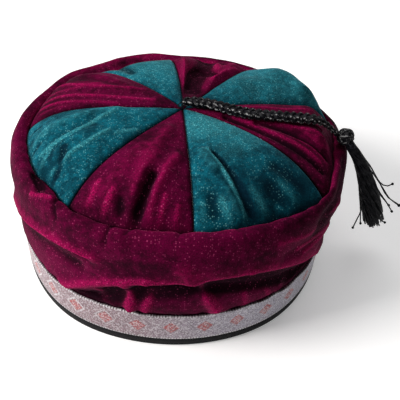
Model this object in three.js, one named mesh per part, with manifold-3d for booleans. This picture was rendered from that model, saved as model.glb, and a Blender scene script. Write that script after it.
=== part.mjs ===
// A smoking cap: eight velvet wedges over a puffed side band, a woven ribbon and a bound edge
// round the rim, and a braided cord with a tassel that lies over the crown.
// Millimetres, +Z up, the floor at z = 0 under the rim. The front of the cap faces -Y.
import * as THREE from "three";
import { mergeVertices } from "three/addons/utils/BufferGeometryUtils.js";
import Module from "manifold-3d";

const wasm = await Module();
wasm.setup();

// Named sizes of the cap
const RIM_RADIUS_X = 93.0; // outside of the binding, side to side
const RIM_RADIUS_Y = 91.8; // outside of the binding, front to back
const LEAN_X = -2.2; // how far the rim lies off the crown's axis, because the soft cap leans
const LEAN_Y = -0.8;
const RIM_SWELL = 2.2; // how far the rim is pushed out of its oval at the front corners
const BULGE_RADIUS = 95.6; // widest ring of the puffed side
const BULGE_HEIGHT = 64.0;
const SHOULDER_RADIUS = 89.5; // highest ring of the band, where it rolls over to the crown
const SHOULDER_HEIGHT = 78.0;
const CROWN_RADIUS = 85.5; // seam between the wedges and the band
const SEAM_HEIGHT = 75.0;
const CROWN_TOP = 90.0; // where the wedges meet
const DOME_POWER = 5.4; // how late the seams between the wedges drop from there to the band
const TIP_RADIUS = 2.0; // the wedges' points stop this far from the axis
const CROWN_SWELL = 5.0; // how far the crown seam is pushed out of its circle at the back right
const CROWN_SLUMP = 5.0; // how far that seam hangs down where the crown leans over the side
const BULGE_SWELL = 4.0; // how far the bulge below it is pushed out
const SLUMP_EDGE = 10; // how late the wedges follow it down
const SHOULDER_FOLLOW = 0.55; // how much of the seam's swell the band's shoulder shares
const PUFF = 5.0; // how far the middle of a full wedge stands over its seams
const PUFF_ROUND = 0.7; // the lower, the steeper it leaves those seams
const PUFF_GROWTH = 0.8; // how it grows outwards from the centre
const PUFF_EDGE = 14; // how late it drops to the crown seam
const CLOTH = 1.8; // velvet wall
const RIBBON_WIDTH = 19.8;
const RIBBON_WALL = 1.0;
const RIBBON_WAVE = 1.2; // how far the ribbon's upper edge dips between its high spots
const RIBBON_WAVES = 7; // round the cap
const BINDING_HEIGHT = 5.5;
const BINDING_WALL = 1.0;
const BINDING_ROUND = 0.8; // rounding of its lower outer edge
const FOLD_WIDTH = 5.0; // half width of an ordinary fold
const FOLD_LIFT = 2.0; // height of an ordinary fold
const BAND_FADE_FROM = 8.0; // the band's folds fade between these ways down from its inner end
const BAND_FADE_TO = 3.5;
const CROWN_FADE = 0.08; // share of the crown's radius over which its folds fade at the crown seam
const CLEARANCE = 0.3; // left between pieces that touch
const CORD_DIAMETER = 6.2;
const KNOT_DIAMETER = 9.4;
const SKIRT_TOP_RADIUS = 0.8; // of the ring of locks where they leave the knot
const SKIRT_END_RADIUS = 5.2; // of the ring of locks at their ends
const LOCK_TOP_RADIUS = 1.3;
const LOCK_END_RADIUS = 2.3;

// How finely the cloth is divided
const BAND_COLUMNS = 80;
const GORE_COLUMNS = 9;
const GORE_ROWS = 10;
const ROW_BUNCHING = 1.15; // rows of a wedge lie closer together towards the band
const SHOULDER_TURNS = [24, 46, 68, 90]; // degrees along the arc from the bulge to the shoulder
const ROLL_TURNS = [45, 90]; // and along the arc from the shoulder down to the crown seam

// The side between the ribbon and the bulge: height as a share of that distance, and radius as
// a share of the way from the rim's cloth to the bulge.
const SIDE_PROFILE = [
  { up: 0.06, out: 0.4 },
  { up: 0.2, out: 0.6 },
  { up: 0.36, out: 0.7 },
  { up: 0.54, out: 0.82 },
  { up: 0.72, out: 0.93 },
  { up: 0.87, out: 0.98 },
  { up: 1, out: 1 },
];

// Where the rim and the crown seam are pushed out, or in where the share is below 0: angle and
// half width in degrees, and a share of RIM_SWELL or CROWN_SWELL.
const RIM_CORNERS = [
  { angle: 234, spread: 20, share: 0.8 },
  { angle: 308, spread: 20, share: 0.6 },
];
const CROWN_CORNERS = [
  { angle: 21, spread: 20, share: 1.6 },
  { angle: 105, spread: 13, share: -0.6 },
  { angle: 128, spread: 9, share: -0.7 },
  { angle: 241, spread: 12, share: 0.4 },
  { angle: 273, spread: 15, share: -0.35 },
  { angle: 319, spread: 14, share: 1.1 },
];

// Where the crown seam hangs down, in the same way, as a share of CROWN_SLUMP
const CROWN_SLUMPS = [{ angle: 22, spread: 20, share: 1 }];

// Where the bulge is pushed out, as a share of BULGE_SWELL
const BULGE_CORNERS = [{ angle: 21, spread: 18, share: 1 }];

// The wedges in turn: colour, the angle in degrees of the seam where each begins, near the
// centre and at the crown seam, and its puff as a share of PUFF.
const GORES = [
  { cloth: "teal", inner: 13, outer: 11, puff: 1.5 },
  { cloth: "burgundy", inner: 50, outer: 55, puff: 0.5 },
  { cloth: "teal", inner: 90, outer: 98, puff: 0.45 },
  { cloth: "burgundy", inner: 124, outer: 141, puff: 1.1 },
  { cloth: "teal", inner: 182, outer: 184, puff: 1 },
  { cloth: "burgundy", inner: 230, outer: 233, puff: 0.9 },
  { cloth: "teal", inner: 275, outer: 275, puff: 1.1 },
  { cloth: "burgundy", inner: 344, outer: 323, puff: 0.9 },
];

// Folds of the crown, each a soft ridge, or a crease where lift is below 0. It runs from one
// angle and reach to another, bowed to its left. Reach and bow are shares of CROWN_RADIUS,
// width and lift of FOLD_WIDTH and FOLD_LIFT.
const CROWN_FOLDS = [
  { from: 14, near: 0.9, to: 38, far: 0.9, bow: 0.01, width: 2.1, lift: 2.4 },
  { from: 346, near: 0.88, to: 15, far: 0.86, bow: 0, width: 1.8, lift: 1.6 },
  { from: 200, near: 0.9, to: 191, far: 0.42, bow: 0.02, width: 0.8, lift: 0.8 },
  { from: 211, near: 0.9, to: 205, far: 0.6, bow: 0.02, width: 0.8, lift: -0.7 },
  { from: 255, near: 0.95, to: 256, far: 0.42, bow: 0, width: 0.7, lift: -1.6 },
  { from: 259, near: 0.92, to: 262, far: 0.4, bow: 0, width: 0.8, lift: 0.9 },
  { from: 245, near: 0.9, to: 246, far: 0.45, bow: 0, width: 1.2, lift: 0.6 },
  { from: 291, near: 0.94, to: 287, far: 0.45, bow: 0.02, width: 0.9, lift: 0.9 },
  { from: 284, near: 0.86, to: 281, far: 0.5, bow: 0, width: 1, lift: -0.7 },
  { from: 309, near: 0.92, to: 305, far: 0.7, bow: 0, width: 1, lift: -0.8 },
  { from: 345, near: 0.92, to: 350, far: 0.4, bow: 0, width: 0.8, lift: 0.5 },
  { from: 30, near: 0.8, to: 36, far: 0.5, bow: 0.03, width: 1.6, lift: 0.7 },
  { from: 62, near: 0.8, to: 60, far: 0.34, bow: 0, width: 1, lift: 0.9 },
  { from: 77, near: 0.9, to: 75, far: 0.25, bow: 0, width: 1.2, lift: -1.5 },
  { from: 91, near: 0.75, to: 90, far: 0.34, bow: 0, width: 0.9, lift: 0.8 },
  { from: 64, near: 0.9, to: 88, far: 0.9, bow: 0, width: 1.4, lift: -0.6 },
  { from: 99, near: 0.9, to: 117, far: 0.9, bow: 0, width: 1.6, lift: -0.9 },
  { from: 130, near: 0.9, to: 129, far: 0.6, bow: 0, width: 0.8, lift: -0.9 },
  { from: 152, near: 0.92, to: 153, far: 0.4, bow: 0.02, width: 0.7, lift: 0.5 },
  { from: 164, near: 0.92, to: 163, far: 0.4, bow: 0.02, width: 0.7, lift: 0.5 },
];

// Folds of the side band in the same way. Its reach is the way climbed from the floor along
// the cloth, as a share of BULGE_HEIGHT, and the bow is a share of BULGE_HEIGHT too.
const BAND_FOLDS = [
  { from: 158, near: 0.56, to: 190, far: 0.54, bow: 0, width: 2.6, lift: -1.8 },
  { from: 106, near: 1.2, to: 142, far: 1.16, bow: 0, width: 3, lift: 1.3 },
  { from: 8, near: 1.2, to: 40, far: 1.2, bow: 0, width: 2.2, lift: -1 },
  { from: 321, near: 1.04, to: 344, far: 1.16, bow: 0, width: 1.7, lift: -1.9 },
  { from: 203, near: 0.82, to: 246, far: 0.98, bow: 0.04, width: 0.8, lift: 0.9 },
  { from: 206, near: 0.7, to: 240, far: 0.82, bow: 0.04, width: 1, lift: -0.7 },
  { from: 234, near: 0.46, to: 332, far: 0.48, bow: 0.45, width: 1.1, lift: 0.8 },
  { from: 242, near: 0.4, to: 322, far: 0.4, bow: 0.4, width: 1.4, lift: -1.6 },
  { from: 272, near: 1, to: 285, far: 0.46, bow: 0, width: 0.8, lift: 1 },
  { from: 257, near: 0.74, to: 258, far: 0.48, bow: 0, width: 0.6, lift: 0.7 },
  { from: 304, near: 0.92, to: 336, far: 0.76, bow: 0.02, width: 0.8, lift: -0.7 },
  { from: 318, near: 0.62, to: 345, far: 0.6, bow: 0.02, width: 0.9, lift: -0.6 },
  { from: 8, near: 0.5, to: 30, far: 0.78, bow: 0, width: 1.3, lift: 0.8 },
  { from: 48, near: 0.55, to: 80, far: 0.66, bow: 0.04, width: 1.5, lift: -0.8 },
  { from: 66, near: 0.96, to: 122, far: 0.94, bow: 0, width: 1.8, lift: 0.7 },
  { from: 128, near: 0.5, to: 160, far: 0.62, bow: 0.03, width: 1.4, lift: -0.7 },
  { from: 165, near: 0.8, to: 192, far: 0.9, bow: 0.02, width: 1.2, lift: 0.4 },
];

// Route of the braided cord from the crown's centre to the knot
const CORD_ROUTE = [
  [0.2, 0.9, 93.6],
  [6.4, 0, 94],
  [13.6, -2, 94.5],
  [20.4, -5, 94.8],
  [26.2, -8.2, 95.1],
  [32.2, -10.7, 95.4],
  [39, -12.6, 95.8],
  [46.5, -13.7, 96],
  [54.4, -14.2, 96],
  [62.4, -14.1, 95.7],
  [69.8, -13.5, 95],
  [75.4, -12.4, 92.8],
  [79.6, -11, 89.5],
  [82.8, -10, 86.6],
  [85.7, -9.8, 84.3],
];
const CORD_STEPS = 17;
const CORD_SIDES = 10;

// Middle of the tassel's knot, and the line that its skirt falls along
const KNOT_CENTRE = [90.8, -10.4, 82.7];
const SKIRT_LINE = [
  [94.5, -13.2, 78],
  [101.6, -14, 68.9],
  [109.5, -14, 54.2],
  [116.4, -14, 38.9],
  [122.8, -14, 21.6],
];
const KNOT_SIDES = 10;
const KNOT_ROWS = 7;
const LOCKS = 6;
const LOCK_STEPS = 3;
const LOCK_SIDES = 5;

// Looks of the five materials
const FINISHES = {
  burgundy: { color: 0x5e0734, roughness: 0.85, metalness: 0 },
  teal: { color: 0x14606c, roughness: 0.85, metalness: 0 },
  silver: { color: 0xb4b0bc, roughness: 0.45, metalness: 0 },
  binding: { color: 0x0d0c10, roughness: 0.8, metalness: 0 },
  thread: { color: 0x101016, roughness: 0.6, metalness: 0 },
};

// Sizes that follow from the named ones
const RIBBON_BOTTOM = BINDING_HEIGHT + CLEARANCE;
const RIBBON_TOP = RIBBON_BOTTOM + RIBBON_WIDTH;
const CLOTH_BOTTOM = BINDING_WALL + CLEARANCE;
const RIM_COVER = BINDING_WALL + CLEARANCE;

const { lerp, smoothstep, clamp, euclideanModulo, degToRad, radToDeg } = THREE.MathUtils;

function mesh(name, finish, geometry) {
  const material = new THREE.MeshStandardMaterial(FINISHES[finish]);
  const piece = new THREE.Mesh(geometry, material);
  piece.name = name;
  return piece;
}

// A closed geometry with every vertex carried to its place and the shared ones joined.
function reshape(geometry, place) {
  const corners = geometry.attributes.position;
  const corner = new THREE.Vector3();
  for (let i = 0; i < corners.count; i += 1) {
    place(corner.fromBufferAttribute(corners, i));
    corners.setXYZ(i, corner.x, corner.y, corner.z);
  }
  geometry.deleteAttribute("normal");
  geometry.deleteAttribute("uv");
  const closed = mergeVertices(geometry);
  closed.computeVertexNormals();
  return closed;
}

// A ring about the axis from a closed section of [outward, up] points. Each point of the ring is
// handed over as its angle, outward and up, and comes back as its place.
function ring(section, columns, place) {
  const base = 10; // keeps the plain ring clear of its own axis
  const points = section.map(([outward, up]) => new THREE.Vector2(base + outward, up));
  points.push(points[0].clone());
  const lathe = new THREE.LatheGeometry(points, columns).rotateX(Math.PI / 2);
  return reshape(lathe, (corner) => {
    const outward = Math.hypot(corner.x, corner.y) - base;
    const angle = Math.atan2(corner.y, corner.x);
    corner.copy(place(angle, outward, corner.z));
  });
}

// How far the folds lift the cloth at a spot of the flat plan, given in millimetres.
function liftAt(folds, x, y) {
  let lift = 0;
  for (const { start, end, bow, width, height } of folds) {
    const length = Math.hypot(end.x - start.x, end.y - start.y);
    const ux = (end.x - start.x) / length;
    const uy = (end.y - start.y) / length;
    const along = ((x - start.x) * ux + (y - start.y) * uy) / length;
    const across = (y - start.y) * ux - (x - start.x) * uy;
    const inside = clamp(along, 0, 1);
    const past = (along - inside) * length;
    const aside = across - bow * 4 * inside * (1 - inside);
    lift += height * Math.exp(-(aside * aside + past * past) / (width * width));
  }
  return lift;
}

function foldSizes({ width, lift }) {
  return { width: width * FOLD_WIDTH, height: lift * FOLD_LIFT };
}

const crownFolds = CROWN_FOLDS.map((fold) => {
  const spot = (angle, reach) => ({
    x: Math.cos(degToRad(angle)) * reach * CROWN_RADIUS,
    y: Math.sin(degToRad(angle)) * reach * CROWN_RADIUS,
  });
  return {
    start: spot(fold.from, fold.near),
    end: spot(fold.to, fold.far),
    bow: fold.bow * CROWN_RADIUS,
    ...foldSizes(fold),
  };
});

// On the band the flat plan is the cloth unrolled: once round is a turn of BULGE_RADIUS. Each
// fold is laid on it a turn ahead and a turn behind too, so that none stops at the join.
const bandFolds = BAND_FOLDS.flatMap((fold) =>
  [-360, 0, 360].map((turn) => {
    const sweep = fold.to < fold.from - 180 ? fold.to + 360 : fold.to;
    const spot = (angle, climb) => ({
      x: degToRad(angle + turn) * BULGE_RADIUS,
      y: climb * BULGE_HEIGHT,
    });
    return {
      start: spot(fold.from, fold.near),
      end: spot(sweep, fold.far),
      bow: fold.bow * BULGE_HEIGHT,
      ...foldSizes(fold),
    };
  }),
);

// Rows of the band's outer face from the rim up to the crown seam. Where `rim` is 1 the row has
// the rim's radius, and where it is 0 its own. Where `bulge` is 1 it has the bulge's swell, and where
// `swell` and `slump` are 1 it follows the crown seam.
function bandRows() {
  const rows = [];
  rows.push({ height: CLOTH_BOTTOM, rim: 1, bulge: 0, swell: 0, slump: 0, radius: 0 });
  rows.push({ height: RIBBON_TOP + CLEARANCE, rim: 1, bulge: 0, swell: 0, slump: 0, radius: 0 });
  for (const { up, out } of SIDE_PROFILE) {
    const height = lerp(RIBBON_TOP + CLEARANCE, BULGE_HEIGHT, up);
    rows.push({ height, rim: 1 - out, bulge: out, swell: 0, slump: 0, radius: BULGE_RADIUS });
  }
  for (const turn of SHOULDER_TURNS) {
    const arc = degToRad(turn);
    rows.push({
      height: lerp(BULGE_HEIGHT, SHOULDER_HEIGHT, Math.sin(arc)),
      rim: 0,
      bulge: Math.cos(arc),
      swell: SHOULDER_FOLLOW * Math.sin(arc),
      slump: Math.sin(arc),
      radius: lerp(SHOULDER_RADIUS, BULGE_RADIUS, Math.cos(arc)),
    });
  }
  for (const turn of ROLL_TURNS) {
    const arc = degToRad(turn);
    rows.push({
      height: lerp(SEAM_HEIGHT, SHOULDER_HEIGHT, Math.cos(arc)),
      rim: 0,
      bulge: 0,
      swell: lerp(SHOULDER_FOLLOW, 1, Math.sin(arc)),
      slump: 1,
      radius: lerp(SHOULDER_RADIUS, CROWN_RADIUS, Math.sin(arc)),
    });
  }
  // the cloth turns down behind the wedges' edge
  const height = SEAM_HEIGHT - CLOTH;
  rows.push({ height, rim: 0, bulge: 0, swell: 1, slump: 1, radius: CROWN_RADIUS });
  return withNormals(rows);
}

// Each row also gets the way climbed along the cloth up to it, and the direction across it.
function withNormals(rows) {
  const face = rows.map((row) => new THREE.Vector2(rowRadius(row, 0), row.height));
  let climb = rows[0].height;
  rows.forEach((row, i) => {
    const before = face[Math.max(i - 1, 0)];
    const after = face[Math.min(i + 1, face.length - 1)];
    const run = after.clone().sub(before).normalize();
    row.normal = new THREE.Vector2(run.y, -run.x);
    climb += face[i].distanceTo(before);
    row.climb = climb;
  });
  return rows;
}

// Sum of the corners' shares at an angle.
function cornerShare(corners, angle) {
  return corners.reduce((sum, corner) => {
    const off = euclideanModulo(radToDeg(angle) - corner.angle + 180, 360) - 180;
    return sum + corner.share * Math.exp(-((off / corner.spread) ** 2));
  }, 0);
}

function rimRadius(angle) {
  const oval = Math.hypot(
    (RIM_RADIUS_X - RIM_COVER) * Math.cos(angle),
    (RIM_RADIUS_Y - RIM_COVER) * Math.sin(angle),
  );
  return oval + RIM_SWELL * cornerShare(RIM_CORNERS, angle);
}

function crownSwell(angle) {
  return CROWN_SWELL * cornerShare(CROWN_CORNERS, angle);
}

function crownSlump(angle) {
  return CROWN_SLUMP * cornerShare(CROWN_SLUMPS, angle);
}

function rowRadius({ rim, bulge, swell, radius }, angle) {
  const pushed = bulge * BULGE_SWELL * cornerShare(BULGE_CORNERS, angle) + swell * crownSwell(angle);
  return rim * rimRadius(angle) + (1 - rim) * radius + pushed;
}

// A point at an angle, a radius from the leaning cap's middle and a height. The lean is whole up
// to the ribbon's top and gone at the bulge.
function leaning(angle, radius, height) {
  const lean = 1 - smoothstep(height, RIBBON_TOP, BULGE_HEIGHT);
  return new THREE.Vector3(
    lean * LEAN_X + radius * Math.cos(angle),
    lean * LEAN_Y + radius * Math.sin(angle),
    height,
  );
}

const BAND_ROWS = bandRows();
const CLIMB_END = BAND_ROWS[BAND_ROWS.length - 1].climb;

// Folds fade out at the ribbon and at the crown seam, which keep their rings.
function bandLift(angle, climb) {
  const low = smoothstep(climb, RIBBON_TOP, RIBBON_TOP + FOLD_WIDTH);
  const high = 1 - smoothstep(climb, CLIMB_END - BAND_FADE_FROM, CLIMB_END - BAND_FADE_TO);
  return low * high * liftAt(bandFolds, angle * BULGE_RADIUS, climb);
}

function sideBand() {
  const last = BAND_ROWS.length - 1;
  const section = [];
  BAND_ROWS.forEach((row, i) => section.push([0, i]));
  for (let i = last; i >= 0; i -= 1) {
    section.push([-CLOTH, i]);
  }
  return ring(section, BAND_COLUMNS, (angle, outward, up) => {
    const row = BAND_ROWS[Math.round(up)];
    const lift = outward + bandLift(angle, row.climb);
    const radius = rowRadius(row, angle) + lift * row.normal.x;
    const height = row.height - row.slump * crownSlump(angle);
    return leaning(angle, radius, height + lift * row.normal.y);
  });
}

// How far the ribbon's upper edge dips at an angle.
function ribbonDip(angle) {
  const wave = Math.sin(RIBBON_WAVES * angle) * Math.cos(2 * angle);
  return RIBBON_WAVE * (0.5 - 0.5 * wave);
}

// The ribbon lies on the straight foot of the band, above the binding.
function ribbonTrim() {
  const section = [
    [CLEARANCE + RIBBON_WALL, 0],
    [CLEARANCE + RIBBON_WALL, 1],
    [CLEARANCE, 1],
    [CLEARANCE, 0],
  ];
  return ring(section, BAND_COLUMNS, (angle, outward, up) => {
    const height = lerp(RIBBON_BOTTOM, RIBBON_TOP - ribbonDip(angle), up);
    return leaning(angle, rimRadius(angle) + outward, height);
  });
}

// The binding folds round the lower edge of the cloth, and the cap stands on its flat underside.
function rimBinding() {
  const outside = CLEARANCE + BINDING_WALL;
  const inside = -(CLOTH + CLEARANCE);
  const section = [
    [outside - BINDING_ROUND, 0],
    [outside, BINDING_ROUND],
    [outside, BINDING_HEIGHT],
    [CLEARANCE, BINDING_HEIGHT],
    [CLEARANCE, BINDING_WALL],
    [inside, BINDING_WALL],
    [inside, BINDING_HEIGHT],
    [inside - BINDING_WALL, BINDING_HEIGHT],
    [inside - BINDING_WALL, 0],
  ];
  return ring(section, BAND_COLUMNS, (angle, outward, up) =>
    leaning(angle, rimRadius(angle) + outward, up),
  );
}

// Height of the seams between the wedges, from the crown's top down to the band, and the slope
// there, both by the share of the way out.
function seamHeight(out) {
  return lerp(CROWN_TOP, SEAM_HEIGHT, out ** DOME_POWER);
}

function seamSlope(out) {
  return ((CROWN_TOP - SEAM_HEIGHT) * DOME_POWER * out ** (DOME_POWER - 1)) / CROWN_RADIUS;
}

function seamAngle({ inner, outer }, out) {
  return degToRad(lerp(inner, outer, Math.sqrt(out)));
}

// Puff of a wedge: none along its seams, and growing outwards until close to the crown seam.
function puffAt(across, out) {
  const middle = (4 * across * (1 - across)) ** PUFF_ROUND;
  return PUFF * middle * out ** PUFF_GROWTH * (1 - out ** PUFF_EDGE);
}

function crownGore(gore, next) {
  const box = new THREE.BoxGeometry(1, 1, 1, GORE_COLUMNS, GORE_ROWS, 1).translate(0.5, 0.5, 0.5);
  const following = {
    inner: next.inner + (next.inner < gore.inner ? 360 : 0),
    outer: next.outer + (next.outer < gore.outer ? 360 : 0),
  };
  return reshape(box, (corner) => {
    // box x runs across the wedge from its right seam, y inwards from the band, z out of the cloth
    const { x: across, y: inwards, z: outward } = corner;
    const round = lerp(CROWN_RADIUS - CLEARANCE, TIP_RADIUS, inwards ** ROW_BUNCHING);
    const out = round / (CROWN_RADIUS - CLEARANCE);
    const gap = CLEARANCE / 2 / round;
    const angle = lerp(seamAngle(gore, out) + gap, seamAngle(following, out) - gap, across);
    const radius = round + out ** 2 * crownSwell(angle);
    const slope = seamSlope(out);
    const level = Math.hypot(1, slope);
    const edge = Math.min(1, 8 * across * (1 - across)) * smoothstep(1 - out, 0, CROWN_FADE);
    const folds = liftAt(crownFolds, radius * Math.cos(angle), radius * Math.sin(angle));
    const lift = gore.puff * puffAt(across, out) + edge * folds;
    const down = (1 - outward) * CLOTH;
    const reach = radius - (down * slope) / level;
    corner.set(
      reach * Math.cos(angle),
      reach * Math.sin(angle),
      seamHeight(out) - out ** SLUMP_EDGE * crownSlump(angle) + lift - down / level,
    );
  });
}

function curve(points) {
  return new THREE.CatmullRomCurve3(points.map((point) => new THREE.Vector3(...point)));
}

function tasselCord() {
  const section = new THREE.Shape();
  for (let i = 0; i < CORD_SIDES; i += 1) {
    const angle = (2 * Math.PI * i) / CORD_SIDES;
    const x = (CORD_DIAMETER / 2) * Math.cos(angle);
    const y = (CORD_DIAMETER / 2) * Math.sin(angle);
    if (i === 0) {
      section.moveTo(x, y);
    } else {
      section.lineTo(x, y);
    }
  }
  return new THREE.ExtrudeGeometry(section, { extrudePath: curve(CORD_ROUTE), steps: CORD_STEPS });
}

function solidOf(geometry) {
  const bare = geometry.clone();
  bare.deleteAttribute("normal");
  bare.deleteAttribute("uv");
  const merged = mergeVertices(bare);
  const vertProperties = new Float32Array(merged.attributes.position.array);
  const triVerts = new Uint32Array(merged.index.array);
  return new wasm.Manifold(new wasm.Mesh({ numProp: 3, vertProperties, triVerts }));
}

function geometryOf(solid) {
  const { vertProperties, triVerts } = solid.getMesh();
  const geometry = new THREE.BufferGeometry();
  geometry.setAttribute("position", new THREE.BufferAttribute(vertProperties, 3));
  geometry.setIndex(new THREE.BufferAttribute(triVerts, 1));
  geometry.computeVertexNormals();
  return geometry;
}

// One lock of the skirt: a thin tapered rod bent along the skirt's line, off to one side of it.
function skirtLock(line, side) {
  const rod = new THREE.CylinderGeometry(1, 1, 1, LOCK_SIDES, LOCK_STEPS).translate(0, 0.5, 0);
  return reshape(rod, (corner) => {
    const { x, y: fall, z } = corner;
    const centre = line.getPoint(fall);
    const down = line.getTangent(fall);
    const right = new THREE.Vector3(0, 1, 0).cross(down).normalize();
    const front = right.clone().cross(down);
    const spread = lerp(SKIRT_TOP_RADIUS, SKIRT_END_RADIUS, Math.sqrt(fall));
    const thick = lerp(LOCK_TOP_RADIUS, LOCK_END_RADIUS, Math.sqrt(fall));
    corner.copy(centre);
    corner.addScaledVector(right, spread * Math.cos(side) + thick * x);
    corner.addScaledVector(front, spread * Math.sin(side) + thick * z);
  });
}

function tassel() {
  const line = curve([KNOT_CENTRE, ...SKIRT_LINE]);
  const knot = new THREE.SphereGeometry(KNOT_DIAMETER / 2, KNOT_SIDES, KNOT_ROWS);
  knot.translate(...KNOT_CENTRE);
  let fused = solidOf(knot);
  for (let i = 0; i < LOCKS; i += 1) {
    fused = fused.add(solidOf(skirtLock(line, (2 * Math.PI * i) / LOCKS)));
  }
  return geometryOf(fused);
}

const cap = new THREE.Group();
GORES.forEach((gore, i) => {
  const next = GORES[(i + 1) % GORES.length];
  cap.add(mesh(`crown_gore_${i + 1}_${gore.cloth}`, gore.cloth, crownGore(gore, next)));
});
cap.add(mesh("side_band", "burgundy", sideBand()));
cap.add(mesh("ribbon_trim", "silver", ribbonTrim()));
cap.add(mesh("rim_binding", "binding", rimBinding()));
cap.add(mesh("tassel_cord", "thread", tasselCord()));
cap.add(mesh("tassel", "thread", tassel()));

export default cap;
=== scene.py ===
"""A smoking cap: velvet wedges and side band, woven ribbon, bound edge, plaited cord and tassel.

Metres, +Z up, the floor at z = 0 under the rim, and the front of the cap faces -Y. Sizes are in
millimetres in the tables and dataclasses, and are turned to metres where a mesh gets its place.
"""
import logging
import math
from dataclasses import dataclass, field
from enum import Enum
from random import Random
from typing import Callable, Sequence, Union

import bmesh
import bpy
import numpy as np
from mathutils import Matrix, Vector, noise


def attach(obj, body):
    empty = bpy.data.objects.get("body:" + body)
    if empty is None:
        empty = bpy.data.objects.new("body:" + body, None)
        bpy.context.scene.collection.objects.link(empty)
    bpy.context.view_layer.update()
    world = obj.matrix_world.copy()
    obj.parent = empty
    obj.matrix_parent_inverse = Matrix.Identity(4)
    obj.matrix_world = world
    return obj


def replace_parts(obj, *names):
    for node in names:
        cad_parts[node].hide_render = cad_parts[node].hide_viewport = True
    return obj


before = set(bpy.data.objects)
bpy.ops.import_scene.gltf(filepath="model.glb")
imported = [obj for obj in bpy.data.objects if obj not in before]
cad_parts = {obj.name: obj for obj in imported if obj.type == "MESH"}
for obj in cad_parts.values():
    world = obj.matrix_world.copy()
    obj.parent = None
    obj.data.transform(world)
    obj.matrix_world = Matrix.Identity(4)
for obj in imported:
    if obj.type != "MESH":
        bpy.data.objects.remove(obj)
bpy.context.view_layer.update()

LOG = logging.getLogger("smoking_cap")
MM = 0.001
NOISE_RADIUS = 95  # soft noise round the cap is read on a cylinder of this radius, in millimetres
Colour = tuple[float, float, float, float]
Socket = bpy.types.NodeSocket
Feed = Union[float, tuple, Socket]


class Cloth(Enum):
    """The two velvets of the cap, by the slot each belongs to."""

    TEAL = "teal_velvet"
    BURGUNDY = "burgundy_velvet"


@dataclass(frozen=True)
class Fold:
    """A soft ridge of the cloth, or a crease where its lift is below 0.

    On the crown a reach is a share of the crown's radius, on the band it is the way climbed from
    the floor as a share of the bulge's height, and so is the bow. Width and lift are shares of
    the ordinary fold's.
    """

    start: float
    near: float
    end: float
    far: float
    bow: float
    width: float
    lift: float


@dataclass(frozen=True)
class PaintedLightPatch:
    """A painted pool of light on the crown: painted highlight with stronger glints, or painted shade where
    its strength is below 0.

    How far out it lies and its size are shares of the crown's radius.
    """

    angle: float
    out: float
    size: float
    strength: float


@dataclass(frozen=True)
class Gore:
    """A wedge of the crown: its velvet, the angle of the seam where it begins, and its puff."""

    cloth: Cloth
    inner: float
    outer: float
    puff: float


CROWN_FOLDS = (
    Fold(14, 0.9, 38, 0.9, 0.01, 2.1, 2.4),
    Fold(346, 0.88, 15, 0.86, 0, 1.8, 1.6),
    Fold(200, 0.9, 191, 0.42, 0.02, 0.8, 0.8),
    Fold(211, 0.9, 205, 0.6, 0.02, 0.8, -0.7),
    Fold(257, 0.99, 258, 0.72, 0, 0.55, -2.1),
    Fold(259.5, 0.97, 268, 0.56, 0.01, 0.6, 1.0),
    Fold(253.5, 0.86, 254, 0.3, 0, 0.8, 0.8),
    Fold(243, 0.9, 246, 0.5, 0, 1.1, 0.5),
    Fold(252, 0.99, 250, 0.9, 0, 0.5, -1.0),
    Fold(290.5, 0.98, 283, 0.52, 0, 0.6, 1.1),
    Fold(293.5, 0.98, 287.5, 0.72, 0, 0.5, -1.2),
    Fold(282, 0.95, 281, 0.84, 0, 1.0, -1.0),
    Fold(306, 1.0, 305, 0.9, 0, 0.9, -0.9),
    Fold(317, 0.97, 313, 0.8, 0, 0.8, -0.6),
    Fold(331, 0.97, 340, 0.3, 0.01, 0.45, -1.2),
    Fold(339, 0.96, 341, 0.5, 0, 0.45, -1.2),
    Fold(345, 0.92, 350, 0.4, 0, 0.8, 0.5),
    Fold(30, 0.8, 36, 0.5, 0.03, 1.6, 0.7),
    Fold(62, 0.8, 60, 0.34, 0, 1, 0.9),
    Fold(77, 0.9, 75, 0.25, 0, 1.2, -1.5),
    Fold(91, 0.75, 90, 0.34, 0, 0.9, 0.8),
    Fold(64, 0.92, 90, 0.92, 0, 1.4, -1.0),
    Fold(98, 0.9, 128, 0.88, 0, 1.7, -1.4),
    Fold(130, 0.9, 129, 0.6, 0, 0.8, -0.9),
    Fold(152, 0.92, 153, 0.4, 0.02, 0.7, 0.5),
    Fold(164, 0.92, 163, 0.4, 0.02, 0.7, 0.5),
)

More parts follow.
